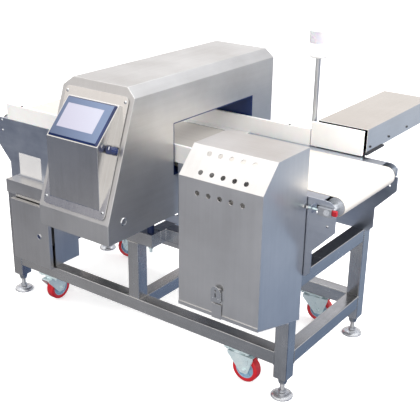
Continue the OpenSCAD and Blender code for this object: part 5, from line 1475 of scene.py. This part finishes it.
# %% Domed screws
def screw_solids(cloud, number):
    """Head, socket and shank on the axis found from one screw's points."""
    middle = (cloud.max(0) + cloud.min(0)) / 2
    spread_of, ways = np.linalg.eigh(np.cov((cloud - cloud.mean(0)).T))
    first_is_odd = abs(spread_of[1] - spread_of[2]) < abs(spread_of[0] - spread_of[1])
    axis = ways[:, 0] if first_is_odd else ways[:, 2]
    heights = (cloud - middle) @ axis
    radii = np.linalg.norm(cloud - middle - heights[:, None] * axis, axis=1)
    reach = radii.max()
    if heights[radii > 0.9 * reach].mean() < 0:
        axis, heights = -axis, -heights
    seat, top, foot = heights[radii > 0.9 * reach].min(), heights.max(), heights.min()
    below = radii[heights < seat - 0.0002]
    body = below.max() if len(below) else 0.6 * reach
    side = np.cross(axis, (0.0, 0.0, 1.0) if abs(axis[2]) < 0.9 else (1.0, 0.0, 0.0))
    side = side / np.linalg.norm(side)
    rim, floor = seat + 0.0003, top - 0.4 * (top - seat)
    head = [(0, seat), (reach, seat)]
    head += [(reach * math.cos(t), rim + (top - rim) * math.sin(t)) for t in np.linspace(0, 1.05, 4)]
    head += [(0.40 * reach, top), (0.36 * reach, floor), (0, floor)]
    hexagon = 0.34 * reach
    socket = [(0, floor - 0.0002), (hexagon, floor - 0.0002), (hexagon, floor + 0.0002), (0, floor + 0.0002)]
    shank = [(0, foot), (body, foot), (body, seat + 0.0001), (0, seat + 0.0001)]
    # The dark hexagon on the socket's floor is painted shade in the recess.
    parts = [(lathe(head, (0, 0, 0), steps=18), chrome),
             (lathe(socket, (0, 0, 0), steps=6, start=number), black_recess_shade),
             (lathe(shank, (0, 0, 0), steps=8), dark_steel)]
    return [(carried(solid, middle, side, np.cross(axis, side)), material) for solid, material in parts]


def make_screws():
    """Merge the CAD node's loose points, gather them into screws, and draw each."""
    source = nodes["dome_screws"]
    loose = np.array([list(source.matrix_world @ v.co) for v in source.data.vertices])
    _, first, merged = np.unique(np.round(loose, 6), axis=0, return_index=True, return_inverse=True)
    world, merged = loose[first], merged.ravel()
    faces = [tuple(int(merged[v]) for v in p.vertices) for p in source.data.polygons]
    groups = {}
    for island, face in zip(islands(faces, len(world)), faces):
        groups.setdefault(island, set()).update(face)
    screws = Piece("dome_screws_turned", "stand", ("dome_screws",), "zinc")
    for number, members in enumerate(groups.values()):
        for solid, material in screw_solids(world[sorted(members)], number):
            screws.add(solid, material)
    screws.make()
    print("screws:", len(groups))


make_screws()

# %% [markdown]
# ## Latch and lock
#
# The bin is held shut by a toggle lever: a strip pressed with a round top and
# two side flanges, and a keyhole that catches the bin's stud. The cabinet door
# has a quarter-turn lock, whose bright ring and dark face are turned profiles.


# %% Latch and lock
def make_latch():
    """The lever's sheet with its keyhole, two side flanges with rivets, and the pin."""
    low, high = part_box("latch_lever")
    x, half, front = (low.x + high.x) / 2, (high.x - low.x) / 2, low.y
    centre_z = high.z - half
    lever = Piece("latch_lever_pressed", nodes["latch_lever"]["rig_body"], ("latch_lever",), "sheet_steel")
    t = np.linspace(0, math.pi, 28)
    arc = np.stack([x + half * np.cos(t), centre_z + half * np.sin(t)], axis=1)
    keyhole = [(x + 0.0020, centre_z - 0.0050), (x + 0.0020, centre_z - 0.0195),
               (x - 0.0020, centre_z - 0.0195), (x - 0.0020, centre_z - 0.0050)]
    holes = [fillet(keyhole, 0.0018, 4), circle(x, centre_z + 0.0030, 0.0030, 20)]
    sheet = [(x - half, low.z), (x + half, low.z), *arc]
    lever.add(plate(sheet, holes, "y", front, front + 0.002, 0.0004), steel_bare)
    rivet = [(0, -0.0007), (0.0018, -0.0004), (0.0026, 0.0002), (0.0026, 0.0008), (0, 0.0008)]
    for side in (-1, 1):
        outer, inner = x + side * half, x + side * (half - 0.002)
        flange = rounded_box((outer, front + 0.0016, low.z), (inner, high.y, centre_z - 0.001), 0.0005)
        lever.add(flange, steel_bare)
        lever.add(lathe(rivet, (x + side * 0.0098, front, centre_z - 0.0235), "y", 24), chrome)
    pin = [(0, -half), (0.0023, -half), (0.0023, half), (0, half)]
    lever.add(lathe(pin, (x, front + 0.0060, 0.425), "x", 24), chrome)
    lever.make()


def make_lock():
    """Cam lock: bright ring, dark face with a key slot, barrel and cam."""
    low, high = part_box("cam_lock")
    x, z, front = -0.467, 0.3015, low.y
    lock = Piece("cam_lock_turned", nodes["cam_lock"]["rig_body"], ("cam_lock",), "dark_steel")
    ring = [(0, 0.0032), (0.0108, 0.0032), (0.0110, 0.0026), (0.0106, 0.0004), (0.0094, 0.0),
            (0.0086, 0.0006), (0, 0.0006)]
    face = [(0, 0.0001), (0.0078, 0.0001), (0.0082, 0.0007), (0.0082, 0.0010), (0, 0.0010)]
    end = high.y - front - 0.0032
    barrel = [(0, 0.0032), (0.0078, 0.0032), (0.0079, 0.0040), (0.0079, end), (0, end)]
    lock.add(lathe(ring, (x, front, z), "y", 56), chrome)
    lock.add(lathe(face, (x, front, z), "y", 48), navy_gloss)
    # The key slot is a dark bar on the lock's face: painted shade in place of a recess.
    slot = rounded_box((x - 0.0009, front - 0.00005, z - 0.0042), (x + 0.0009, front + 0.0004, z + 0.0042),
                       0.0002)
    cam = rounded_box((x - 0.0058, high.y - 0.0028, z - 0.0058), (high.x, high.y, z + 0.0058), 0.0006)
    lock.add(slot, black_recess_shade)
    lock.add(lathe(barrel, (x, front, z), "y", 40), cast)
    lock.add(cam, zinc)
    lock.make()


make_latch()
make_lock()
print("latch and lock are on")

# %% [markdown]
# ## Plug and tension screws
#
# A chromed plug blanks a hole in the head's right side. At the tail, two long
# screws pull the roller's blocks and so tension the belt. They are M8 with the
# usual 1.25 mm pitch, cut at full scale.


# %% Plug and tension screws
def make_plug():
    """Blanking plug: a domed chromed disc with a bright ring, and its shank."""
    low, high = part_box("blanking_plug")
    plug = Piece("blanking_plug_chromed", "stand", ("blanking_plug",), "aluminium")
    profile = [(0, -0.0052), (0.0110, -0.0052), (0.0112, 0.0), (0.0138, 0.0001), (0.0140, 0.0008),
               (0.0132, 0.0026), (0.0120, 0.0036), (0.0106, 0.0037), (0.0100, 0.0030), (0.0092, 0.0028),
               (0.0040, 0.0034), (0, 0.0035)]
    plug.add(lathe(profile, (high.x - 0.0039, (low.y + high.y) / 2, (low.z + high.z) / 2), "x"), chrome)
    plug.make()


def make_tension_screws():
    """Two long screws with hexagon heads and collars beside the plates."""
    low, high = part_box("tension_screws")
    screws = Piece("tension_screws_threaded", "stand", ("tension_screws",), "zinc")
    z, inset = (low.z + high.z) / 2, 0.0076
    collar = [(0, 0.0058), (0.0062, 0.0058), (0.0062, 0.0070), (0, 0.0070)]
    for y in (low.y + inset, high.y - inset):
        screws.add(hex_head((0, y, z), "x", low.x, low.x + 0.0060, 0.0074, 0.3), chrome)
        screws.add(lathe(collar, (low.x, y, z), "x", 32), chrome)
        screws.add(thread((0, y, z), "x", low.x + 0.0064, high.x, 0.0040, 0.00125, 0.0005, 20), zinc)
    screws.make()


make_plug()
make_tension_screws()
print("plug and tension screws are on")

# %% [markdown]
# ## The floor
#
# The machine stands on a pale floor that isn't part of it. It shines a little by
# itself, so that it stays even, and metals don't mirror it, because the
# surroundings below already say what they should show from underneath.


# %% Floor
def make_floor():
    """A pale disc, 30 m across, half a millimetre below the feet."""
    sides = 96
    mesh = bpy.data.meshes.new("floor")
    mesh.from_pydata(placed("z", circle(0, 0, 15, sides), -0.0005).tolist(), [], [tuple(range(sides))])
    floor = bpy.data.objects.new("floor", mesh)
    bpy.context.scene.collection.objects.link(floor)
    material, tree, shader = start_material("pale_floor", Roughness=0.8, Emission_Strength=0.45)
    place = add_node(tree, "TexCoord").outputs["Object"]
    cloud = noise(tree, place, 1.2, 2.0)
    tree.links.new(ramp(tree, cloud, [(0.3, "#f4f4f3"), (0.7, "#f8f8f7")]), shader.inputs["Base Color"])
    mesh.materials.append(material)
    floor.visible_glossy = False
    floor.visible_diffuse = False


make_floor()
print("floor is laid")

# %% [markdown]
# ## The surroundings
#
# Bare steel looks like whatever surrounds it, so most of the picture is made
# here. The world is a plain gradient over the height of the viewing direction:
# white above, a band of warm grey at the horizon, blue below. Four such
# gradients are laid side by side, two in front and two behind, and blend softly.

# %% Surroundings
FRONT_LEFT = [(0.0, "#6a6c73"), (0.22, "#85878b"), (0.265, "#acaaaa"), (0.31, "#7f7e81"), (0.345, "#6d717c"),
              (0.42, "#566072"), (0.545, "#3c4966"), (0.572, "#5d6982"), (0.60, "#d8d0ca"), (0.62, "#fff8f1"),
              (1.0, "#ffffff")]
FRONT_RIGHT = [(0.0, "#65676e"), (0.24, "#83858b"), (0.30, "#697992"), (0.32, "#5d7090"), (0.338, "#a3a9b4"),
               (0.355, "#f4f2f0"), (0.45, "#f6f4f2"), (0.6, "#f6f2ee"), (1.0, "#ffffff")]
BACK_MIDDLE = [(0.0, "#46546e"), (0.25, "#8090a8"), (0.31, "#9dabbf"), (0.37, "#b4bcc8"), (0.42, "#cbcdd0"),
               (0.53, "#e8e5e1"), (0.64, "#dfdbd6"), (0.70, "#a9adb6"), (1.0, "#ffffff")]
BACK_SIDES = [(0.0, "#0e1a38"), (0.25, "#182a50"), (0.33, "#3a5076"), (0.365, "#8190a8"), (0.42, "#a9b2be"),
              (0.50, "#dfdfdf"), (0.62, "#eae5e0"), (0.675, "#dccfc4"), (0.74, "#aab0bd"), (1.0, "#ffffff")]


def make_world():
    """Four gradients over the direction's height, mixed by where it points."""
    world = bpy.data.worlds.new("studio")
    bpy.context.scene.world = world
    world.use_nodes = True
    tree = world.node_tree
    tree.nodes.clear()
    way = add_node(tree, "SeparateXYZ", {"Vector": add_node(tree, "TexCoord").outputs["Generated"]}).outputs
    height = spread(tree, way["Z"], 0.0, 1.0, -1.0, 1.0)

    front_left, front_right, back_middle, back_sides = (
        ramp(tree, height, stops) for stops in (FRONT_LEFT, FRONT_RIGHT, BACK_MIDDLE, BACK_SIDES))
    offset = add_node(tree, "Math", {0: way["X"], 1: 0.38}, operation="SUBTRACT").outputs[0]
    apart = add_node(tree, "Math", {0: offset}, operation="ABSOLUTE").outputs[0]
    slant = add_node(tree, "Math", {0: way["X"], 1: 0.3}, operation="MULTIPLY").outputs[0]
    depth = add_node(tree, "Math", {0: slant, 1: way["Y"]}, operation="ADD").outputs[0]
    to_right = spread(tree, way["X"], 0.0, 1.0, -0.56, -0.40)
    to_sides = spread(tree, apart, 0.0, 1.0, 0.08, 0.32)
    to_back = spread(tree, depth, 0.0, 1.0, -0.45, 0.35)
    front = add_node(tree, "Mix", {0: to_right, 6: front_left, 7: front_right}, data_type="RGBA").outputs[2]
    back = add_node(tree, "Mix", {0: to_sides, 6: back_middle, 7: back_sides}, data_type="RGBA").outputs[2]
    mixed = add_node(tree, "Mix", {0: to_back, 6: front, 7: back}, data_type="RGBA").outputs[2]
    sky = add_node(tree, "Background", {"Color": mixed, "Strength": 1.2})
    add_node(tree, "OutputWorld", {"Surface": sky.outputs[0]})


make_world()
print("gradients:", len(BACK_SIDES) + len(BACK_MIDDLE) + len(FRONT_LEFT) + len(FRONT_RIGHT), "colours")

# %% [markdown]
# ## The lights
#
# One large soft light overhead and three fills. Metals mirror the overhead light
# only: the fills would show as hard white squares in polished steel, so
# they are hidden from reflections and still light everything that is dull.


# %% Lights
def area_light(name, place, target, size, energy, colour, mirrored=True):
    """A square soft light at a place, aimed at a target. Unmirrored, no metal shows it."""
    data = bpy.data.lights.new(name, "AREA")
    data.shape, data.size, data.energy = "SQUARE", size, energy
    data.color = linear(colour)[:3]
    light = bpy.data.objects.new(name, data)
    bpy.context.scene.collection.objects.link(light)
    way = Vector(target) - Vector(place)
    light.matrix_world = Matrix.Translation(place) @ way.to_track_quat("-Z", "Y").to_matrix().to_4x4()
    light.visible_glossy = mirrored


area_light("overhead_soft", (-0.6, 0.4, 4.2), (0, -0.1, 0.5), 4.0, 62, "#ffffff")
area_light("right_fill", (3.4, 1.0, 2.8), (0.2, 0, 0.7), 3.0, 215, "#ffffff", False)
area_light("left_soft", (-3.6, -2.8, 2.6), (0, -0.1, 0.5), 2.6, 60, "#fffdfa", False)
area_light("front_fill", (2.6, -4.6, 2.4), (0, 0, 0.6), 3.6, 112, "#ffffff", False)
bpy.context.scene.view_settings.view_transform = "Standard"
print("lights:", len(bpy.data.lights))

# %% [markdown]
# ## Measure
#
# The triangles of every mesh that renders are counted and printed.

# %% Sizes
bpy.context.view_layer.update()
triangles = sum(len(o.data.loop_triangles) or sum(len(p.vertices) - 2 for p in o.data.polygons)
                for o in bpy.data.objects if o.type == "MESH" and not o.hide_render)
print("triangles:", triangles)
